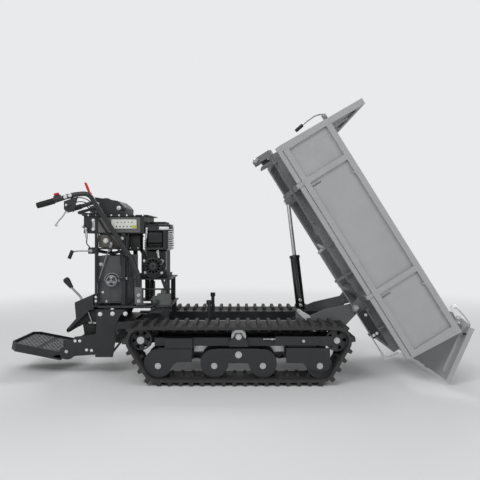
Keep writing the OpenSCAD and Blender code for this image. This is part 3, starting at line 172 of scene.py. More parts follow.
finishes = {
    # Powder coat on steel: satin black with a faint orange peel, paler and darker where it is scuffed
    "black": powderCoat("black_powder_coat", "#26272a", "#303236", "#1d1e20", 0.4),
    "blackGloss": powderCoat("black_gloss_coat", "#1c1d1f", "#25262a", "#151618", 0.26),
    "wheel": powderCoat("dark_wheel_paint", "#2f3033", "#3a3c3f", "#202123", 0.5),
    "tankSteel": powderCoat("dark_grey_tank_paint", "#4a4b4d", "#525355", "#3e3f41", 0.46),
    # Mid grey: paint of the handlebar's feet and shoes, and painted light on the black hinge gussets
    "bracketGrey": powderCoat("mid_grey_bracket_paint_and_painted_light", "#67686a", "#717274", "#58595b", 0.42),
    # Light grey paint of the bed: soft and even, its rails a little brighter and its frame darker
    "bed": powderCoat("light_grey_bed_paint", "#9fa1a2", "#a7a9aa", "#959798", 0.45),
    "bedRail": powderCoat("light_grey_rail_paint", "#aaacad", "#b2b4b5", "#9fa1a2", 0.42),
    "bedFrame": powderCoat("mid_grey_frame_paint", "#77797b", "#818385", "#696b6d", 0.45),
    # Expanded metal in mid grey over a dark tray, whose near-black floor is painted shade under the holes
    "treadMesh": powderCoat("grey_tread_mesh", "#7d7f82", "#8f9193", "#4e5052", 0.4),
    # Vulcanised rubber: matt and nearly black, greyer where dust sits on the track
    "rubber": mouldedRubber("track_rubber", "#313132", "#434240"),
    "grip": mouldedRubber("grip_rubber", "#171718", "#202022", 0.7, 0.6, 0.05),
    "rubberCap": mouldedRubber("buffer_rubber", "#202021", "#2c2c2c", 0.7, 0.8, 0.05),
    "belt": mouldedRubber("belt_rubber", "#1a1a1b", "#262627", 0.65, 0.5, 0.05),
    # Zinc plate: bright clouded grey metal. The bright one is half metal and nearly white, partly the plate's own
    # brightness and partly a painted glint, so it shows as a white dot at a distance
    "zinc": platedSteel("zinc_plated_steel", "#c3c5c6", "#d8d9d6", "#9a9da0", 0.3),
    "brightZinc": polished("bright_zinc_painted_glint", "#e4e6e6", 0.36, 0.4),
    "steel": platedSteel("machined_steel", "#aeb0b2", "#c4c5c6", "#85888b", 0.26, (1, 8, 1)),  # fine turning lines
    "chrome": polished("hard_chrome", "#dfe1e3", 0.08, 1.0),  # mirror of the room along the cylinder's rod
    "barrel": polished("gloss_black_enamel", "#101112", 0.14, 0.0, 0.6),  # wet-looking black, sharp highlights
    # Sand-cast alloy: pitted and dull, darker in its pores; bare on the small fittings
    "cast": castMetal("dark_cast_alloy", "#3b3c3f", "#47494c", "#2a2b2d"),
    "pumpCast": castMetal("grey_green_pump_casting", "#5a605d", "#686e6b", "#3c403e", 0.55, 0.3),
    "castLight": castMetal("bare_cast_alloy", "#8f9295", "#a0a3a6", "#6f7275", 0.45, 0.8),
    # Injection-moulded plastic: fine even grain and a soft sheen, glossy on the engine's cover
    "tank": mouldedPlastic("brown_grey_tank", "#5c5852", "#68645d", 0.5, 0.05),
    "plastic": mouldedPlastic("black_plastic", "#1b1c1e", "#242528", 0.5, 0.05),
    "plasticGloss": mouldedPlastic("black_gloss_plastic", "#17181a", "#1f2023", 0.25, 0.015),
    "panel": mouldedPlastic("grey_panel", "#5f5f5e", "#6a6a68", 0.42, 0.02),
    "red": mouldedPlastic("red_plastic", "#c8161a", "#d32025", 0.3, 0.015),
    # Printed polyester film: smooth, pale and flat
    "plate": mouldedPlastic("bare_label_plate", "#d3d5d0", "#dcded8", 0.35, 0.01),
    "yellow": mouldedPlastic("yellow_green_field", "#b4bb3c", "#c0c648", 0.35, 0.01),
}
print("materials made:", len(finishes))

# Angles in degrees at which an edge stays sharp, or is rolled
sharp = {"piece": 32, "bolt": 30, "rolled": 50, "rollDressed": 34, "rollMade": 40}


def newObject(name, data):
    made = bpy.data.objects.new(name, data)
    bpy.context.scene.collection.objects.link(made)
    return made


def joined(mesh, name):
    # Turns a mesh into a piece with soft edges only where it is smooth
    made = newObject(name, mesh)
    for face in mesh.polygons:
        face.use_smooth = True
    mesh.set_sharp_from_angle(angle=math.radians(sharp["piece"]))
    return made


def baked(piece):
    # Applies every modifier on a piece
    bpy.context.view_layer.update()
    evaluated = piece.evaluated_get(bpy.context.evaluated_depsgraph_get())
    mesh = bpy.data.meshes.new_from_object(evaluated)
    piece.modifiers.clear()
    piece.data = mesh
    return piece


def rollEdges(piece, width, angle, harden=True):
    # Rounds the edges sharper than angle by width in mm
    edge = piece.modifiers.new("edge", "BEVEL")
    edge.width, edge.segments, edge.harden_normals = width / 1000, 2, harden
    edge.limit_method, edge.angle_limit = "ANGLE", math.radians(angle)
    return baked(piece)


def inRod(x, z, radius, low, high):
    # Test for faces round an axis along Y; sizes in mm in the drawing's frame, low and high on either side
    return lambda c: math.hypot(c[0] - x, c[2] - z) <= radius + 0.3 and low <= abs(c[1]) <= high


def inBlock(x0, x1, y0, y1, z0, z1):
    return lambda c: x0 <= c[0] <= x1 and y0 <= abs(c[1]) <= y1 and z0 <= c[2] <= z1


def dress(node, finish, regions=(), roll=1.2):
    # A CAD node's own shape, merged, with its edges rolled and a finish for each region
    bm = bmesh.new()
    bm.from_mesh(frame["nodes"][node].data)
    bmesh.ops.remove_doubles(bm, verts=bm.verts, dist=3e-5)
    bmesh.ops.dissolve_limit(bm, angle_limit=math.radians(0.8), verts=bm.verts, edges=bm.edges)
    for face in bm.faces:
        c = face.calc_center_median() * 1000
        c[0] -= drawingShift
        face.material_index = max([k + 1 for k, region in enumerate(regions) if region[1](c)], default=0)
    mesh = bpy.data.meshes.new(node)
    bm.to_mesh(mesh)
    bm.free()
    for name in [finish] + [region[0] for region in regions]:
        mesh.materials.append(finishes[name])
    piece = joined(mesh, "dressed_" + node)
    if roll:
        rollEdges(piece, roll, sharp["rollDressed"])
    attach(piece, frame["nodes"][node]["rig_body"])
    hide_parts(node)


def dressAll(looks):
    # Nodes of one finish each, with the radius of their rolled edges in mm
    for node, (finish, roll) in looks.items():
        dress(node, finish, (), roll)


# Axles of the running gear, x and z in mm, the radii of the bolt heads on them, and where these stand along Y:
# outside the frame's outer plate and inside its inner one
gear = {"front": (-557, 131.4), "second": (-175, 131.4), "third": (155, 131.4), "rear": (542, 131.4),
        "bogie": (-10, 207.4), "carrier": (-9, 329.6), "idler": (658, 304), "head": 24, "pivotHead": 26,
        "sides": ((385 + 86.2, 600), (0, 385 - 86.2))}


def boltHeads(names, radius):
    return [("zinc", inRod(*gear[name], radius, *ends)) for name in names for ends in gear["sides"]]


for side in ("left", "right"):
    tensioner = [("zinc", inBlock(160, 243, 440, 475, 298, 328)), ("zinc", inBlock(418, 442, 479.2, 490, 290, 316))]
    dress("track_frame_" + side, "black", boltHeads(("front", "rear", "carrier", "idler"), gear["head"])
          + boltHeads(("bogie",), gear["pivotHead"]) + tensioner, 1.4)
    dress("bogie_" + side, "black", boltHeads(("second", "third"), gear["head"]), 1.4)
    dressAll({"drive_shaft_" + side: ("zinc", 0.8), "sprocket_" + side: ("wheel", 1.0),
              "idler_" + side: ("wheel", 1.2), "carrier_roller_" + side: ("steel", 1.5)})
    dressAll({f"road_wheel_{k}_{side}": ("wheel", 2.0) for k in (1, 2, 3, 4)})
print("running gear dressed")

cylinder = {"foot": (481, 364), "tilt": math.radians(-6.745)}
dress("chassis_frame", "black", [
    ("rubberCap", inBlock(-250, -200, 220, 280, 519, 560)),  # buffer posts
    ("zinc", inRod(*cylinder["foot"], 13, 47.3, 80)), ("zinc", inRod(423, 468, 11, 230.3, 260)),
    # the hinge gussets are black steel drawn in mid grey: painted light, where light falls on the near one
    ("bracketGrey", inBlock(560, 880, 221, 231, 400, 530))])  # hinge gussets
dress("front_deck", "black", [("zinc", inRod(-1257, 178, 15, 246.2, 260))])
# the lock lever's tab is near-white bright zinc: painted glint on its bare metal
dress("lock_lever", "brightZinc", (), 0.8)
dress("hydraulic_tank", "tankSteel", [("castLight", inRod(-940, 686, 60, 186.5, 260))], 2.0)
dressAll({
    "hydraulic_pump": ("pumpCast", 1.5), "engine_block": ("cast", 1.5), "blower_housing": ("plasticGloss", 2.0),
    "fuel_tank": ("tank", 4.0), "fuel_cap": ("plastic", 2.0), "muffler": ("black", 1.5),
    "air_cleaner": ("plastic", 4.0), "engine_pulley": ("steel", 0.6), "gearbox_pulley": ("steel", 0.6),
    "drive_belt": ("belt", 0.8), "gearbox": ("cast", 3.0)})
print("frame and power pack dressed")

dress("console_box", "black", [("zinc", inRod(-1086, 907, 7, 216.2, 260))])
dress("console_panel", "panel", [("plate", inBlock(-946, -756, 205.4, 210, 1066, 1140))], 1.0)
dress("handlebar", "black", [
    ("bracketGrey", inBlock(-756, -700, 231, 237.6, 505, 640)), ("zinc", inRod(-728, 548, 14.5, 271, 300)),
    ("zinc", inRod(-728, 590, 14.5, 271, 300)), ("zinc", inRod(-1237, 1208, 7, 200, 297.8))], 0.8)
dressAll({"handle_grips": ("grip", 1.0), "kill_switch": ("red", 2.0), "clutch_lever_left": ("zinc", 0.6),
          "clutch_lever_right": ("zinc", 0.6), "throttle_lever": ("red", 1.0)})
dress("valve_lever", "steel", [("plastic", inBlock(-1262, -1208, 200, 260, 840, 922))], 0.6)
dress("shift_lever", "steel", [("plastic", inBlock(-1340, -1232, 150, 215, 636, 740))], 0.6)
dress("control_cables", "plastic", (), 0)
print("controls dressed")

# The tipped bed: u runs along it from its hinge, n stands square to its floor
bed = {"tip": math.radians(58), "hinge": (840.6, 490), "dividers": (-964, -79)}
onBed = tilted(bed["hinge"], bed["tip"])


def inBed(*limits):
    def test(c):
        along, up = math.cos(bed["tip"]), math.sin(bed["tip"])
        dx, dz = c[0] - bed["hinge"][0], c[2] - bed["hinge"][1]
        return inBlock(*limits)((dx * along - dz * up, c[1], dx * up + dz * along))
    return test


dress("bed_frame", "bedFrame", [
    ("zinc", inBed(-30, 30, 248.2, 300, -30, 30)), ("bed", inBed(-1400, -1263, 0, 70, 66, 112)),
    ("black", inBed(20, 240, 300, 320, -20, 50))])
dress("bed_tray", "bed", [("bedRail", inBed(-1300, -1180, 0, 501, 745, 760))], 1.6)
for side in ("left", "right"):
    dress("side_panel_" + side, "bed", [("zinc", inBed(300, 420, 440, 459.8, 505, 540))], 1.6)
dress("tailgate", "bed", (), 1.6)
dress("release_lever", "zinc", [("plastic", inBed(-1340, -1270, 380, 420, 270, 340))], 0.6)
dressAll({"latch_crank": ("zinc", 0.6), "latch_rod": ("zinc", 0.5)})
dress("cylinder_barrel", "barrel", [("zinc", inRod(*cylinder["foot"], 27, 0, 36))])
dress("cylinder_rod", "chrome", (), 0.8)
dressAll({"rubber_track_" + side: ("rubber", 2.2) for side in ("left", "right")})
print("load bed dressed")


def newTree(name, sockets):
    # A Geometry Nodes tree with its named inputs, the material's as the last of them
    tree = bpy.data.node_groups.new(name, "GeometryNodeTree")
    tree.interface.new_socket("Geometry", in_out="INPUT", socket_type="NodeSocketGeometry")
    for label, kind, value in sockets + [("Material", "Material", None)]:
        made = tree.interface.new_socket(label, in_out="INPUT", socket_type="NodeSocket" + kind)
        if value is not None:
            made.default_value = value
    tree.interface.new_socket("Geometry", in_out="OUTPUT", socket_type="NodeSocketGeometry")
    return tree, tree.nodes.new("NodeGroupInput").outputs, tree.nodes.new("NodeGroupOutput")


def endTree(tree, result, geometry, material):
    # Every tree ends in Realize Instances and Set Material
    real = add(tree, "GeometryNodeRealizeInstances", {"Geometry": geometry})
    finished = add(tree, "GeometryNodeSetMaterial", {"Geometry": real, "Material": material})
    tree.links.new(finished.outputs[0], result.inputs[0])
    return tree


def throughTree(piece, tree, values):
    # Runs a tree on a piece, its inputs set by their identifiers, and keeps the plain mesh
    modifier = piece.modifiers.new("pattern", "NODES")
    modifier.node_group = tree
    for item in tree.interface.items_tree:
        if item.item_type == "SOCKET" and item.in_out == "INPUT" and item.name in values:
            modifier[item.identifier] = values[item.name]
    return baked(piece)


def hexBolts():
    # Six-sided heads with a crown and a washer on every point; all sizes are shares of the head's radius
    tree, get, result = newTree("hex_bolts", [
        ("Head height", "Float", 0.62), ("Washer radius", "Float", 1.45), ("Washer height", "Float", 0.16)])
    height, thick = get["Head height"], get["Washer height"]
    head = add(tree, "GeometryNodeMeshCylinder", {"Vertices": 6, "Radius": 1.0, "Depth": height})
    crown = add(tree, "GeometryNodeMeshCone", {
        "Vertices": 6, "Radius Top": 0.8, "Radius Bottom": 1.0, "Depth": 0.12})
    washer = add(tree, "GeometryNodeMeshCylinder", {"Vertices": 28, "Radius": get["Washer radius"], "Depth": thick})
    parts = add(tree, "GeometryNodeJoinGeometry")
    for mesh, operation, values in (
            (head, "MULTIPLY_ADD", {0: height, 1: 0.5, 2: thick}), (crown, "ADD", {0: height, 1: thick}),
            (washer, "MULTIPLY", {0: thick, 1: 0.5})):
        rise = add(tree, "ShaderNodeMath", values, operation=operation)
        move = add(tree, "ShaderNodeCombineXYZ", {"Z": rise})
        moved = add(tree, "GeometryNodeTransform", {"Geometry": mesh, "Translation": move})
        tree.links.new(moved.outputs[0], parts.inputs[0])
    stored = [add(tree, "GeometryNodeInputNamedAttribute", {"Name": label}, data_type=kind)
              for label, kind in (("facing", "FLOAT_VECTOR"), ("size", "FLOAT"))]
    facing, size = [next(o for o in node.outputs if o.enabled) for node in stored]
    turned = add(tree, "FunctionNodeAlignRotationToVector", {"Vector": facing}, axis="Z")
    onPoints = add(tree, "GeometryNodeInstanceOnPoints", {
        "Points": get["Geometry"], "Instance": parts, "Rotation": turned, "Scale": size})
    return endTree(tree, result, onPoints, get["Material"])


boltTree = hexBolts()
near = (0, -1, 0)  # facing of what is bolted on the near side


def bolts(name, body, points, washer=1.45, height=0.62, to=place):
    # points are (centre of the seat in mm, facing, width across the corners in mm)
    mesh = bpy.data.meshes.new(name)
    mesh.from_pydata([to(*point[0]) for point in points], [], [])
    mesh.attributes.new("facing", "FLOAT_VECTOR", "POINT")
    mesh.attributes.new("size", "FLOAT", "POINT")
    for k, point in enumerate(points):
        mesh.attributes["facing"].data[k].vector = point[1]
        mesh.attributes["size"].data[k].value = point[2] / 2000
    piece = newObject(name, mesh)
    throughTree(piece, boltTree, {
        "Washer radius": washer, "Head height": height, "Material": finishes["brightZinc"]})
    piece.data.set_sharp_from_angle(angle=math.radians(sharp["bolt"]))
    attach(piece, body)


def bothSides(y, width, points):
    # The same bolts on the near and the far side, points as x and z
    return [((x, side * y, z), (0, side, 0), width) for side in (-1, 1) for x, z in points]


def circle(at, a, b, r, sides):
    # Points round at, in the plane of a and b
    turns = (2 * math.pi * k / sides for k in range(sides))
    return [tuple(at + r * (math.cos(t) * a + math.sin(t) * b)) for t in turns]


class Maker:
    # One mesh collected from simple turned, bent and pressed shapes; sizes in mm in the drawing's frame
    def __init__(self, to=place):
        self.bm, self.to, self.used = bmesh.new(), to, []

    def rings(self, rings, finish, closed=False):
        # Skins a row of rings of points, with caps, or with the last ring joined to the first
        n, count = len(rings[0]), len(rings)
        loops = [(i * n + k, i * n + (k + 1) % n, (i + 1) % count * n + (k + 1) % n, (i + 1) % count * n + k)
                 for i in range(count if closed else count - 1) for k in range(n)]
        if not closed:
            loops += [tuple(range(n))[::-1], tuple((count - 1) * n + k for k in range(n))]
        if finish not in self.used:
            self.used.append(finish)
        points = [self.bm.verts.new(self.to(*p)) for ring in rings for p in ring]
        for loop in loops:
            self.bm.faces.new([points[k] for k in loop]).material_index = self.used.index(finish)

    def block(self, x0, x1, y0, y1, z0, z1, finish):
        self.rings([[(x, y0, z0), (x, y1, z0), (x, y1, z1), (x, y0, z1)] for x in (x0, x1)], finish)

    def plate(self, outline, y0, y1, finish):
        self.rings([[(x, y, z) for x, z in outline] for y in (y0, y1)], finish)

    def disc(self, at, axis, profile, finish, sides):
        # A solid turned part: its profile is closed near the axis
        self.turned(at, axis, profile + [(profile[-1][0], 0.5), (profile[0][0], 0.5)], finish, sides)

    def turned(self, at, axis, profile, finish, sides=28):
        # profile is a row of (distance along the axis, radius)
        axis = Vector(axis).normalized()
        a = axis.orthogonal().normalized()
        b = axis.cross(a)
        self.rings([circle(Vector(at) + axis * h, a, b, r, sides) for h, r in profile], finish)

    def rod(self, a, b, r, finish, sides=18):
        length = (Vector(b) - Vector(a)).length
        c = min(0.2 * r, 1.5)  # rolled ends
        self.turned(a, Vector(b) - Vector(a), [(0, r - c), (c, r), (length - c, r), (length, r - c)], finish, sides)

    def wire(self, points, r, finish, bend=25, sides=12):
        # A bent rod or cable through the points, its corners rounded
        points = [Vector(point) for point in points]
        path = points[:1]
        for before, at, after in zip(points, points[1:], points[2:]):
            reach = min(bend, 0.45 * (at - before).length, 0.45 * (after - at).length)
            p, q = at + (before - at).normalized() * reach, at + (after - at).normalized() * reach
            for k in range(7):
                f = k / 6
                path.append(p * (1 - f) ** 2 + at * 2 * f * (1 - f) + q * f * f)
        path.append(points[-1])
        rings, normal = [], None
        for i, point in enumerate(path):
            along = ((path[min(i + 1, len(path) - 1)] - point).normalized()
                     + (point - path[max(i - 1, 0)]).normalized()).normalized()
            normal = (normal - along * normal.dot(along) if normal else along.orthogonal()).normalized()
            rings.append(circle(point, normal, along.cross(normal), r, sides))
        self.rings(rings, finish)

    def piece(self, name, body, slot, roll=0.8):
        bmesh.ops.recalc_face_normals(self.bm, faces=self.bm.faces)
        mesh = bpy.data.meshes.new(name)
        self.bm.to_mesh(mesh)
        self.bm.free()
        for finish in self.used:
            mesh.materials.append(finishes[finish])
        made = joined(mesh, name)
        if roll:
            rollEdges(made, roll, sharp["rollMade"], False)
            made.data.set_sharp_from_angle(angle=math.radians(sharp["rolled"]))
        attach(made, body)
        return made


def border(made, size, y0, y1, finish):
    # Four flat bars round an opening, the upright ones reaching 1 mm into the others
    left, right, low, high, bar = (size[key] for key in ("left", "right", "low", "high", "bar"))
    for z in (high - bar, low):
        made.block(left, right, y0, y1, z, z + bar, finish)
    for x in (left, right - bar):
        made.block(x, x + bar, y0, y1, low + bar - 1, high - bar + 1, finish)


# Standing platform: pressed tray with two panels of expanded metal, drawn on its own slope
step = {"hinge": (-1300, 151), "long": 388, "wide": 450, "slope": math.radians(11), "rim": 30, "spine": 26,
        "lip": 16, "chamfer": 48, "wall": 44, "floor": (-32, -29), "cheek": 8, "cellLong": 38, "cellWide": 48,
        "strand": 6, "tuck": 4}  # tuck is what the mesh reaches under the rim
onStep = tilted(step["hinge"], step["slope"])


def expandedMetalTree():
    # Zigzag strands, each joined to its mirror image, repeated row by row into diamonds
    tree, get, result = newTree("expanded_metal", [
        ("Cells along", "Int", 9), ("Rows", "Int", 12), ("Cell long", "Float", 0.03),
        ("Cell wide", "Float", 0.014), ("Strand", "Float", 0.002)])

    halfLong = add(tree, "ShaderNodeMath", {0: get["Cell long"], 1: 0.5}, operation="MULTIPLY")
    along = add(tree, "ShaderNodeCombineXYZ", {"X": halfLong})
    count = add(tree, "ShaderNodeMath", {0: get["Cells along"], 1: 2.0, 2: 1.0}, operation="MULTIPLY_ADD")
    line = add(tree, "GeometryNodeMeshLine", {"Count": count, "Offset": along})
    parity = add(tree, "ShaderNodeMath", {0: add(tree, "GeometryNodeInputIndex"), 1: 2.0}, operation="MODULO")
    halfWide = add(tree, "ShaderNodeMath", {0: get["Cell wide"], 1: 0.5}, operation="MULTIPLY")
    sideways = add(tree, "ShaderNodeMath", {0: parity, 1: halfWide}, operation="MULTIPLY")
    rise = add(tree, "ShaderNodeCombineXYZ", {"Y": sideways})
    zigzag = add(tree, "GeometryNodeSetPosition", {"Geometry": line, "Offset": rise})
    path = add(tree, "GeometryNodeMeshToCurve", {"Mesh": zigzag})
    thick = add(tree, "ShaderNodeMath", {0: get["Strand"], 1: 1.4}, operation="MULTIPLY")
    profile = add(tree, "GeometryNodeCurvePrimitiveQuadrilateral", {"Width": get["Strand"], "Height": thick})
    strand = add(tree, "GeometryNodeCurveToMesh", {"Curve": path, "Profile Curve": profile, "Fill Caps": True})
    mirrored = add(tree, "GeometryNodeTransform", {"Geometry": strand, "Scale": (1, -1, 1)})
    flipped = add(tree, "GeometryNodeFlipFaces", {"Mesh": mirrored})
    pair = add(tree, "GeometryNodeJoinGeometry")
    for half in (strand, flipped):
        tree.links.new(half.outputs[0], pair.inputs[0])
    rowStep = add(tree, "ShaderNodeCombineXYZ", {"Y": get["Cell wide"]})
    rows = add(tree, "GeometryNodeMeshLine", {"Count": get["Rows"], "Offset": rowStep})
    spread = add(tree, "GeometryNodeInstanceOnPoints", {"Points": rows, "Instance": pair})
    return endTree(tree, result, spread, get["Material"])


def expandedMetal():
    # Two panels, made flat by the tree and then laid on the slope
    long, wide, rim, tuck = step["long"], step["wide"], step["rim"], step["tuck"]
    cells = round((long / 2 - rim - step["spine"] / 2 + 2 * tuck) / step["cellLong"])
    rows = round((wide - 2 * rim + 2 * tuck) / step["cellWide"])
    piece = newObject("platform_mesh", bpy.data.meshes.new("platform_mesh"))
    throughTree(piece, expandedMetalTree(), {
        "Cells along": cells, "Rows": rows, "Cell long": step["cellLong"] / 1000,
        "Cell wide": step["cellWide"] / 1000, "Strand": step["strand"] / 1000, "Material": finishes["treadMesh"]})
    flat = piece.data.copy()
    side = (wide - rows * step["cellWide"]) / 2
    bm = bmesh.new()
    for x0 in (-long + rim - tuck, -rim + tuck - cells * step["cellLong"]):
        start = len(bm.verts)
        bm.from_mesh(flat)
        bm.verts.ensure_lookup_table()
        for vert in bm.verts[start:]:
            p = vert.co * 1000
            vert.co = onStep(p[0] + x0, p[1] - wide / 2 + side + step["cellWide"] / 2, p[2] - 2.2)
    bm.to_mesh(piece.data)
    bm.free()
    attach(piece, "standing_platform")


def platformTray():
    made = Maker(onStep)
    long, half, rim, lip, wall = step["long"], step["wide"] / 2, step["rim"], step["lip"], -step["wall"]

    def outline(inset):
        # Plan of the tray with its two outer corners cut off
        x, y, cut = -long + inset, half - inset, step["chamfer"] - 0.6 * inset
        return [(-inset, -y), (x + cut, -y), (x, -y + cut), (x, y - cut), (x + cut, y), (-inset, y)]

    corners = list(zip(outline(0), outline(5), outline(9), outline(rim)))
    made.rings([[(*a, wall), (*b, wall), (*b, lip - 4), (*c, lip - 4), (*c, lip), (*a, lip)]
                for a, b, c, d in corners], "black", closed=True)
    made.rings([[(*b, -4), (*d, -4), (*d, 0), (*b, 0)] for a, b, c, d in corners], "plastic", closed=True)
    # the tray's floor under the mesh is near-black: painted shade, so that the holes read dark
    made.rings([[(*c, z) for a, b, c, d in corners] for z in step["floor"]], "plastic")
    middle, spine = -long / 2, step["spine"] / 2
    made.block(middle - spine, middle + spine, -half + rim - 1, half - rim + 1, -4, 1, "plastic")
    made.block(middle - 3, middle + 3, -half + 4, half - 4, -26, -3.9, "black")
    cheek = [(-1360, 142), (-1298, 154), (-1277, 196), (-1270, 200), (-1257, 201), (-1240, 192), (-1235, 180),
             (-1240, 164), (-1249, 158), (-1298, 120), (-1360, 130)]
    made.to = place
    for y in (-half, half - step["cheek"]):
        made.plate(cheek, y, y + step["cheek"], "black")
    piece = made.piece("platform_tray", "standing_platform", "black_paint", 0.9)
    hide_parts("standing_platform")
    expandedMetal()


platformTray()
print("platform made")

# Knee guard: a folded shell with a rounded lip, the lever's slot, a rubber boot and the lever's link.
# cheeks are the near faces of an outer sheet and of the recessed one under it, whose near-black rubber is painted
# shade; arms carry the platform
guard = {"width": (-220.5, 40.5), "sheet": 6, "cheeks": ((-226, -196), (40, 30)), "slot": (-195, -169),
         "slotEnds": (-1199, -1115), "top": ((-1206, 530), (-1069, 590)), "fold": 4, "link": -208,
         "arms": (-239.6, 234.4), "armSheet": 5.2}


def kneeGuard():
    made = Maker()
    sheet, (left, right), (slotNear, slotFar) = guard["sheet"], guard["width"], guard["slot"]
    (x0, z0), (x1, z1) = guard["top"]
    slotFront, slotBack = guard["slotEnds"]
    cheek = [(x0, z0), (x1, z1), (-1068, 478), (-1098, 474), (-1243, 332), (-1266, 334), (-1196, 412)]
    under = [(-1267, 334), (-1267, 322), (-1262, 312), (-1256, 309), (-1249, 311), (-1139, 377), (-1112, 377),
             (-1112, 331), (-1068, 331), (-1068, 480), (-1100, 480)]
    for outer, inner in guard["cheeks"]:
        made.plate(cheek, outer, outer + sheet, "black")
        # the recessed sheet is near-black rubber: painted shade inside the guard
        made.plate(under, inner, inner + sheet, "grip")
    front = [(x0, z0), (-1196, 412), (-1266, 334), (-1263, 330), (-1190, 411), (-1200, 526)]
    made.plate(front, left, right, "black")
    nose = [(-1266, 334), (-1267, 322), (-1262, 312), (-1256, 309), (-1252, 313), (-1258, 316), (-1263, 324),
            (-1262, 332)]
    made.plate(nose, left, right, "plastic")

    def onTop(x, drop=0):
        return x, z0 + (x - x0) * (z1 - z0) / (x1 - x0) - drop

    for a, b, y0, y1 in ((x0, x1, left, slotNear), (x0, x1, slotFar, right), (x0, slotFront, slotNear, slotFar),
                         (slotBack, x1, slotNear, slotFar)):
        made.plate([onTop(a), onTop(b), onTop(b, guard["fold"]), onTop(a, guard["fold"])], y0, y1, "black")
    boot = [(-1152, 366), (-1146, 372), (-1064, 374), (-1060, 368), (-1060, 300), (-1066, 294), (-1134, 294),
            (-1142, 300)]
    made.plate(boot, -205, -60, "grip")
    made.block(-1100, -1040, -200, 30, 380, 476, "plastic")
    made.rod((-1114, guard["link"], 462), (-1082, guard["link"], 380), 4, "steel")
    made.block(-1108, -1084, -213, -203, 374, 386, "steel")
    made.block(-1076, -1046, -213, -203, 373, 384, "steel")
    arm = [(-1283, 261), (-1283, 208), (-1303, 196), (-1314, 182), (-1314, 162), (-1303, 138), (-1282, 122),
           (-1256, 116), (-1228, 122), (-1207, 138), (-1180, 150), (-1180, 261)]
    for y in guard["arms"]:
        made.plate(arm, y, y + guard["armSheet"], "black")
    piece = made.piece("knee_guard", "root", "black_paint", 1.2)
    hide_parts("lever_housing")


# Bent tube along the deck's edge, brace under the deck and the grey shoes of the handlebar's feet
deck = {"tube": 248, "tubeEnd": 236, "tubeRadius": 8, "brace": 222, "shoe": (271.5, 276), "bolts": 246}


def deckFittings():
    made = Maker()
    for side in (-1, 1):
        tube, brace, r = side * deck["tube"], side * deck["brace"], deck["tubeRadius"]
        made.wire([(-1029, tube, 499), (-640, tube, 499), (-600, tube, 531), (-596, side * deck["tubeEnd"], 548)],
                  r, "black", 40)
        made.rod((-865, brace, 247), (-938, brace, 156), r, "black")
        made.turned((-942, brace, 149), (0, side, 0), [(0, 0.1), (0, 9), (14, 9), (16, 7), (16, 0.1)], "steel", 6)
        made.plate([(-756, 530), (-752, 526), (-709, 526), (-705, 530), (-705, 640), (-709, 645), (-752, 645),
                    (-756, 640)], *sorted(side * y for y in deck["shoe"]), "bracketGrey")
    made.piece("deck_fittings", "root", "black_paint", 1.0)


kneeGuard()
deckFittings()

# Bright sleeve over the bent rod of the shift lever
made = Maker()
made.wire([(-1158, -182, 514), (-1174, -182, 564), (-1240, -182, 630), (-1247, -182, 640)], 8.5, "steel", 22)
made.piece("shift_rod", "shift_lever", "zinc_steel", 0)

# Bolt heads of the operator's end: side plates, platform arms, oil tank's feet
bolts("plate_bolts", "root", bothSides(deck["bolts"], 22, ((-1014, 448), (-924, 451), (-831, 451)))
      + bothSides(239, 15, ((-1198, 252), (-1164, 252), (-1114, 187), (-1078, 183)))
      + [(at, near, 13) for at in ((-1054, -216, 568), (-1054, -216, 539), (-984, -186, 534), (-985, -192, 978))])


def rowTree():
    # Slats and fins in a straight row: one small block repeated by the tree
    tree, get, result = newTree("block_row", [
        ("Count", "Int", 8), ("Start", "Vector", None), ("Step", "Vector", None), ("Size", "Vector", None)])
    block = add(tree, "GeometryNodeMeshCube", {"Size": get["Size"]})
    line = add(tree, "GeometryNodeMeshLine", {
        "Count": get["Count"], "Start Location": get["Start"], "Offset": get["Step"]})
    spread = add(tree, "GeometryNodeInstanceOnPoints", {"Points": line, "Instance": block})
    return endTree(tree, result, spread, get["Material"])


blockRow = rowTree()


def slats(name, finish, count, first, rowStep, size):
    # first is the centre of the first one, in mm; the edges are rolled after the row is made
    piece = newObject(name, bpy.data.meshes.new(name))
    throughTree(piece, blockRow, {
        "Count": count, "Start": place(*first), "Step": Vector(rowStep) / 1000, "Size": Vector(size) / 1000,
        "Material": finishes[finish]})
    rollEdges(piece, 0.8, sharp["rollDressed"])
    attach(piece, "root")


# Engine covers: louvres, cooling fins and the bright guard of the silencer
cover = {"face": -190, "back": -181, "top": 1093.5, "topSheet": 5.5, "louvres": 6, "slots": 2, "fins": 11,
         "finStep": 13.6, "bars": 7}
made = Maker()
made.block(-678, -574, cover["face"], cover["back"], 966, 1040, "plastic")
made.block(-566, -553, cover["face"] - 4, -186, 922, 1052, "blackGloss")
made.block(-704, -506, -194, -72, cover["top"], cover["top"] + cover["topSheet"], "black")
made.plate([(-600, 1099), (-526, 1099), (-506, 1090), (-502, 1064), (-508, 1064), (-512, 1086), (-528, 1094),
            (-600, 1094)], -186, -84, "castLight")
made.block(-594, -522, -199.5, -196.5, 1061, 1083, "brightZinc")
made.piece("engine_cover_panels", "root", "black_plastic", 1.6)
slats("cover_louvres", "plastic", cover["louvres"], (-626, -190.5, 974), (0, 0, 11.5), (92, 3, 5))
slats("cover_slots", "plastic", cover["slots"], (-626, -184.5, 940), (0, 0, 12), (100, 5, 5))
# the cast cooling fins take the near-white bright zinc: painted light, so they read as lit stripes
slats("cooling_fins", "brightZinc", cover["fins"], (-513, -140, 926), (0, 0, cover["finStep"]),
      (30, 113, 4.8))
slats("guard_grille", "castLight", cover["bars"], (-594, -135, 1101), (11, 0, 0), (4, 92, 4))

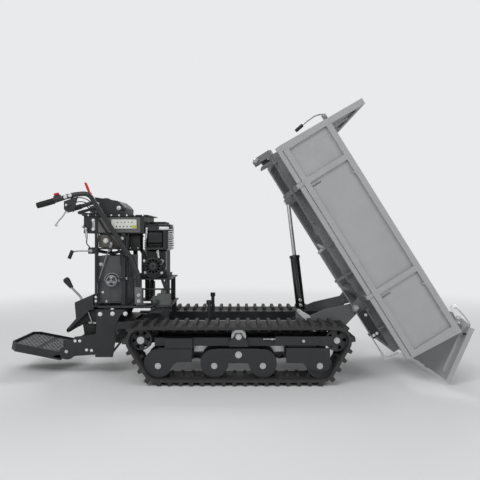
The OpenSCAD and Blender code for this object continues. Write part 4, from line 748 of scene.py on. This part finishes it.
# Regulator box hung under the console, rubber pads on the fuel tank, two thick oil hoses from the valve
# to the oil tank, and the rail between the legs of the engine stand
hose = {"radius": 11, "places": (-164, -136), "tank": -850}
made = Maker()
made.block(-832, -742, -152, -40, 904, 1032, "plastic")
made.block(-836, -738, -156, -36, 1006, 1018, "plastic")
for x in (-816, -758):
    made.rod((x, -151, 926), (x, -157, 926), 6, "zinc", 6)
for y0, y1 in ((-182, -150), (150, 182)):
    made.block(-1036, -884, y0, y1, 1022.4, 1036, "grip")
for y in hose["places"]:
    made.wire([(-1063, y, 907), (-1004, y, 892), (-934, y, 889), (-884, y, 902), (-852, y, 898),
               (hose["tank"], y, 868.5)], hose["radius"], "plastic", 34)
    made.rod((hose["tank"], y, 868.2), (hose["tank"], y, 880), 14, "zinc", 6)
made.block(-770, -512, -158, -150.2, 614, 626, "black")
made.piece("oil_hoses", "root", "black_plastic", 1.0)

# Recoil starter: ring of screws, hub, cord handle and the elbow beside it
starter = {"middle": (-640, 792), "ring": 78}
x, z = starter["middle"]
made = Maker()
made.turned((x, -188, z), near, [(-4, 62), (2, 62), (3, 58), (3, 54), (-4, 54)], "plastic", 48)
made.turned((x, -196, z), near, [(-2, 26), (3, 25), (5, 20), (5, 9), (3, 8), (-2, 8)], "cast", 36)
made.rod((-700, -186, 850), (-716, -186, 884), 8, "grip")
made.rod((-690, -184, 828), (-700, -186, 850), 2.2, "plastic", 10)
made.wire([(-590, -186, 842), (-572, -192, 838), (-566, -192, 818), (-582, -186, 804)], 7, "castLight", 12)
made.piece("starter_handle", "root", "dark_gloss_plastic", 0.8)
ring = starter["ring"]
bolts("starter_screws", "root", [
    ((x + ring * math.cos(a), -172, z + ring * math.sin(a)), near, 14) for a in (0.5, 2.62, 3.8, 5.6)])

# Hydraulic tank front: pressed frame, cover screws and the gear linkage in front of it
tank = {"left": -1036, "right": -838, "low": 532, "high": 690, "bar": 10, "rib": (-962, -952),
        "sheet": (-190, -185), "rod": -200, "rodHeight": 703, "link": -207}
made = Maker()
border(made, tank, *tank["sheet"], "tankSteel")
made.block(*tank["rib"], *tank["sheet"], 541, 681, "tankSteel")
made.piece("tank_frame", "root", "dark_wheel_steel", 1.2)
made = Maker()
y, rodY, rodZ = tank["link"], tank["rod"], tank["rodHeight"]
made.wire([(-946, -206, 948), (-974, y, 884), (-1045, y, 664), (-1050, y, 560)], 5, "castLight", 30)
made.plate([(-950, 968), (-936, 972), (-930, 958), (-952, 900), (-966, 896), (-968, 904)], -209, -203, "castLight")
made.rod((-942, -192, 959), (-942, -216, 959), 9, "zinc")
made.wire([(-1050, y, 572), (-1050, y, 534), (-1044, -198, 520)], 6.5, "zinc", 10)
# the rod and its nuts are near-white bright zinc: painted highlight, standing in for the reflection on them
for x0, x1, r, sides in ((-880, -826, 7.5, 18), (-872, -862, 11, 6), (-838, -826, 11, 6)):
    made.rod((x0, rodY, rodZ), (x1, rodY, rodZ), r, "brightZinc", sides)
made.piece("gear_linkage", "root", "zinc_steel", 0.6)
# Round cover over the tank's gear quadrant, with three screwed bosses
quadrant = {"middle": (-940, -216, 686), "bosses": 24}
midX, midY, midZ = quadrant["middle"]
made = Maker()
for turn in (90, 210, 330):
    a = math.radians(turn)
    x, z = midX + quadrant["bosses"] * math.cos(a), midZ + quadrant["bosses"] * math.sin(a)
    made.disc((x, -222, z), near, [(-8, 13), (0, 13), (2, 11)], "castLight", 24)
    made.rod((x, -218, z), (x, -228, z), 6, "zinc", 6)
for profile, finish in (([(-4, 42), (3, 42), (5, 39), (5, 32), (-4, 32)], "castLight"),
                        ([(-4, 32.4), (2, 32.4), (2, 9), (-4, 9)], "cast")):
    made.turned((midX, midY, midZ), near, profile, finish, 40)
made.piece("quadrant_cover", "root", "pump_alloy", 0.8)
bolts("tank_screws", "root", [(at, near, width) for at, width in (
    ((-1025, -186, 806), 19), ((-987, -192, 979), 26), ((-862, -216, 996), 17), ((-1012, -186, 600), 13),
    ((-866, -186, 600), 13))])
print("engine and tank detailed")

# Console: frame round the bare plate with its dots, key switch and lid screws
label = {"left": -948, "right": -752, "low": 1064, "high": 1142, "bar": 5, "face": -206, "dots": 5, "dotStep": 26}
lid = {"y": 212, "z": 1166, "screws": (-1110, -1056, -999, -942, -885, -828, -770, -711)}
made = Maker()
border(made, label, -209.5, -204, "panel")
for k in range(label["dots"]):
    x, y = -904 + k * label["dotStep"], label["face"]
    made.rod((x, y, 1084), (x, y - 4.5, 1084), 4.5, "plastic", 20)
    made.rod((x + 8, y, 1115), (x + 8, y - 2.5, 1115), 5 - k % 2, "panel", 12)
made.block(-792, -762, -208.4, -206.6, 1073, 1096, "yellow")
made.piece("plate_frame", "root", "panel_grey", 0.8)
bolts("lid_screws", "root", bothSides(lid["y"], 11, [(x, lid["z"]) for x in lid["screws"]]), 1.2, 0.5)
made = Maker()
made.disc((-901, -150, 1222), near, [(0, 17), (6, 17), (8, 15), (8, 12), (16, 12), (17, 10)], "brightZinc", 32)
made.block(-903, -899, -170, -166, 1212, 1232, "steel")
made.disc((-1056, -150, 1256), near, [(0, 9), (5, 9), (7, 6)], "zinc", 20)
made.piece("key_switch", "root", "zinc_steel", 0.5)


def adjuster(made, x, y, z, drop, lean, radius=8):
    # A threaded barrel with its lock nut and ball end
    made.turned((x, y, z), (lean, 0, -1), [(-12, 4), (-9, 9), (0, 12), (9, 9), (12, 5)], "zinc", 24)
    made.rod((x + lean * 10, y, z - 10), (x + lean * drop, y, z - drop), radius, "zinc")
    made.rod((x + lean * (drop - 24), y, z - drop + 24), (x + lean * (drop - 14), y, z - drop + 14),
             radius + 3.5, "zinc", 6)


# Cable adjusters, the plug's cap and the tank's sight strip between its two bright screws
sight = {"x": -1075, "screws": (1130, 1064), "radius": 12}
made = Maker()
adjuster(made, -1125, -222, 1066, 72, 0.1)
made.wire([(-1118, -222, 996), (-1120, -222, 958), (-1104, -212, 938), (-1096, -206, 924)], 4, "plastic", 20)
adjuster(made, -684, -203, 1066, 74, -0.08)
made.wire([(-690, -203, 994), (-694, -203, 950), (-694, -202, 900), (-684, -182, 868)], 4, "panel", 25)
made.rod((-606, -197, 910), (-597, -194, 852), 10.5, "zinc")
made.rod((-605, -197, 902), (-603, -196, 890), 13.5, "zinc", 6)
for z in sight["screws"]:
    made.rod((sight["x"], -200, z), (sight["x"], -214, z), sight["radius"], "brightZinc")
made.block(-1083, -1062, -207, -200, 1058, 1136, "zinc")
made.piece("cable_adjusters", "root", "zinc_steel", 0.5)

# Thin cables that run inside the handlebar's bend to the console
cable = {"radius": 3.6, "keyRadius": 3}
made = Maker()
for side in (-1, 1):
    made.wire([(-1288, side * 312, 1272), (-1200, side * 302, 1286), (-1118, side * 291, 1290),
               (-1062, side * 268, 1252), (-1010, side * 238, 1186)], cable["radius"], "plastic", 40)
    made.wire([(-1232, side * 310, 1222), (-1160, side * 296, 1262), (-1100, side * 282, 1256),
               (-1030, side * 262, 1160), (-960, side * 246, 1040), (-900, side * 232, 960),
               (-872, side * 220, 900), (-872, side * 214, 800)], cable["radius"], "plastic", 60)
made.wire([(-884, -156, 1214), (-862, -170, 1216), (-836, -186, 1202), (-822, -190, 1171)], cable["keyRadius"],
          "plastic", 20)
made.piece("bar_cables", "root", "black_plastic", 0)
bolts("bar_clamps", "root", bothSides(317.5, 19, ((-1240, 1292), (-1208, 1303)))
      + bothSides(304, 11, ((-1240, 1236),)))
print("console detailed")

# Load bed: hooks on the panels, and the gate's pivots with their wire handles
hook = {"y": 495.5, "radius": 4, "from": 106, "to": 150}
gate = {"pin": (356.6, 521.7), "plate": (493.4, 489.2), "corner": 22, "handle": 3.5}
for side, name in ((-1, "left"), (1, "right")):
    made = Maker(onBed)
    y = side * hook["y"]
    for u in bed["dividers"]:
        made.wire([(u + hook["to"], side * 490, 464), (u + hook["to"], y, 458), (u + 122, y, 449),
                   (u + hook["from"], y, 436)], hook["radius"], "bedRail", 8)
        made.block(u + 140, u + 160, side * 489, side * 494, 452, 474, "bedRail")
    outline = []
    for cu, cn, start in ((349, 528, -90), (350, 531, 0), (284, 533, 90), (283, 530, 180)):
        turns = [math.radians(start + k * 15) for k in range(7)]
        outline += [(cu + gate["corner"] * math.cos(a), cn + gate["corner"] * math.sin(a)) for a in turns]
    made.plate(outline, *(side * y for y in gate["plate"]), "brightZinc")
    made.disc((gate["pin"][0], side * 484, gate["pin"][1]), (0, side, 0),
              [(0, 15), (11, 15), (12, 13), (12, 8), (9, 8)], "steel", 28)
    made.rod((292, side * 478, 538), (292, side * 496, 538), 7, "zinc")
    made.wire([(296, side * 492, 546), (332, side * 496, 556), (440, side * 496, 566), (480, side * 494, 508),
               (468, side * 492, 492)], gate["handle"], "steel", 18)
    made.rod((478, side * 493, 508), (466, side * 492, 490), 6.5, "grip")
    made.piece("gate_pivot_" + name, "side_" + name, "zinc_steel", 0.6)

# Front clevis of the bed: pin with its heads, lug plate and welded corner
clevis = {"pin": (-1316, -26), "radius": 13, "half": 74}
u, n = clevis["pin"]
made = Maker(onBed)
made.rod((u, -clevis["half"], n), (u, clevis["half"], n), clevis["radius"], "zinc")
for y in (-70, 70):
    made.disc((u, y, n), (0, y, 0), [(-6, 20), (0, 20), (2, 17)], "zinc", 24)
made.plate([(-1332, 48), (-1268, 52), (-1266, 112), (-1326, 116)], -56, 56, "bed")
made.plate([(-1250, -20), (-1238, -20), (-1234, 52), (-1222, 56), (-1222, 64), (-1250, 64)], -90, 90, "bedFrame")
made.block(-1300, -1236, -44, 44, 8, 50, "black")
made.piece("bed_clevis", "bed", "grey_frame_paint", 1.2)

# Weld beads where the cross sleeves meet the long rails
weld = {"radius": 2.4, "half": 22, "rail": 277, "heights": (62, 106)}
made = Maker(onBed)
for u in bed["dividers"]:
    u0, u1 = u - weld["half"], u + weld["half"]
    for side in (-1, 1):
        inner, outer = side * weld["rail"], side * (weld["rail"] + 2)
        for n in weld["heights"]:
            made.wire([(u0, inner, n), (u0, outer, n - 1), (u1, outer, n - 1), (u1, inner, n)], weld["radius"],
                      "bedFrame", 3, 8)
made.piece("bed_welds", "bed", "grey_frame_paint", 0)
bolts("latch_cover_bolts", "bed", [((u, -312, n), near, 15) for u, n in ((60, 26), (214, -2), (214, 24))], to=onBed)
print("load bed detailed")

# Tipping cylinder, drawn along its own tilt: ports with their banjo bolts, the gland and the foot's collar
made = Maker(tilted(cylinder["foot"], cylinder["tilt"]))
for h in (120, 160):
    made.disc((0, -34, h), near, [(0, 15), (6, 15), (7, 13)], "zinc", 6)
    made.disc((0, -44, h), near, [(0, 12), (7, 12), (9, 10)], "zinc", 6)
gland = [(0, 35.4), (0, 39.4), (3, 40), (18, 40), (21, 38), (22, 34), (22, 17), (26, 17), (26, 15.4), (0, 15.4)]
made.turned((0, 0, 483), (0, 0, 1), gland, "barrel", 48)
made.turned((0, 0, 80), (0, 0, 1), [(0, 22), (0, 36), (4, 37.5), (10, 37.5), (14, 35.2), (14, 22)], "barrel", 48)
made.piece("cylinder_fittings", "cylinder_barrel", "gloss_black_paint", 0.5)

# Studio: powers in watts, sizes and distances in metres; a light is its place, target, size and power
studio = {"floorSize": 60.0, "floorColour": "#ebeced", "wallColour": "#e9eaeb", "fadeFrom": 2.2, "fadeTo": 6.5,
          "roomLight": 0.42}
lights = {"key_light": ((-2.2, -4.2, 4.4), (0, 0, 0.6), (3.0, 2.2), 120),
          "fill_light": ((3.8, -3.6, 2.4), (0.2, 0, 0.7), (2.6, 2.6), 55),
          "rim_light": ((0.5, 3.8, 4.2), (0, 0, 0.8), (4.0, 1.6), 85)}
view = {"sensor": 36, "lens": 36.6, "shift": -0.0042, "distance": 3.783, "height": 1.0}
floorMesh = bpy.data.meshes.new("studio_floor")
half = studio["floorSize"] / 2
floorMesh.from_pydata([(-half, -half, 0), (half, -half, 0), (half, half, 0), (-half, half, 0)], [], [(0, 1, 2, 3)])
floor = newObject("studio_floor", floorMesh)
# Matt floor paint: pale and even, with only slow changes of its sheen
floorPaint = surface("studio_floor_paint", studio["floorColour"], 0.85, 0.0, {"broad": (400, 3)}, [],
                     ("broad", 0.8, 0.92), [])
floorMesh.materials.append(floorPaint)


def fadeToWall(tree):
    # Far from the machine the camera sees the floor turn into the wall's colour; the light isn't changed
    output = next(n for n in tree.nodes if n.type == "OUTPUT_MATERIAL")
    painted = output.inputs["Surface"].links[0].from_socket
    where = add(tree, "ShaderNodeNewGeometry")
    away = add(tree, "ShaderNodeVectorMath", {0: where}, operation="LENGTH").outputs["Value"]
    limits = {"Value": away, "From Min": studio["fadeFrom"], "From Max": studio["fadeTo"]}
    fade = add(tree, "ShaderNodeMapRange", limits, interpolation_type="SMOOTHSTEP")
    seen = add(tree, "ShaderNodeLightPath").outputs["Is Camera Ray"]
    both = add(tree, "ShaderNodeMath", {0: fade, 1: seen}, operation="MULTIPLY")
    wall = add(tree, "ShaderNodeEmission", {"Color": linear(studio["wallColour"])})
    mixed = add(tree, "ShaderNodeMixShader", {0: both, 1: painted, 2: wall})
    tree.links.new(mixed.outputs[0], output.inputs["Surface"])


fadeToWall(floorPaint.node_tree)

# The room lights the machine evenly in white, and the camera sees it in the wall's colour
world = bpy.data.worlds.new("studio")
bpy.context.scene.world = world
world.use_nodes = True
room = world.node_tree
white = room.nodes["Background"]
white.inputs["Strength"].default_value = studio["roomLight"]
white.inputs["Color"].default_value = (1, 1, 1, 1)
pale = add(room, "ShaderNodeBackground", {"Color": linear(studio["wallColour"])})
seen = add(room, "ShaderNodeLightPath").outputs["Is Camera Ray"]
mixed = add(room, "ShaderNodeMixShader", {0: seen, 1: white, 2: pale})
room.links.new(mixed.outputs[0], room.nodes["World Output"].inputs["Surface"])

for name, (at, target, size, power) in lights.items():
    lamp = bpy.data.lights.new(name, "AREA")
    lamp.shape = "RECTANGLE"
    lamp.size, lamp.size_y = size
    lamp.energy = power
    holder = newObject(name, lamp)
    holder.location = at
    holder.rotation_euler = (Vector(target) - Vector(at)).to_track_quat("-Z", "Y").to_euler()

lens = bpy.data.cameras.new("camera")
lens.sensor_width, lens.lens, lens.shift_y = view["sensor"], view["lens"], view["shift"]
camera = newObject("camera", lens)
camera.location = (drawingShift / 1000, -view["distance"], view["height"])
camera.rotation_euler = (math.pi / 2, 0, 0)
bpy.context.scene.camera = camera
bpy.context.scene.view_settings.view_transform = "Standard"
print("studio and camera placed")
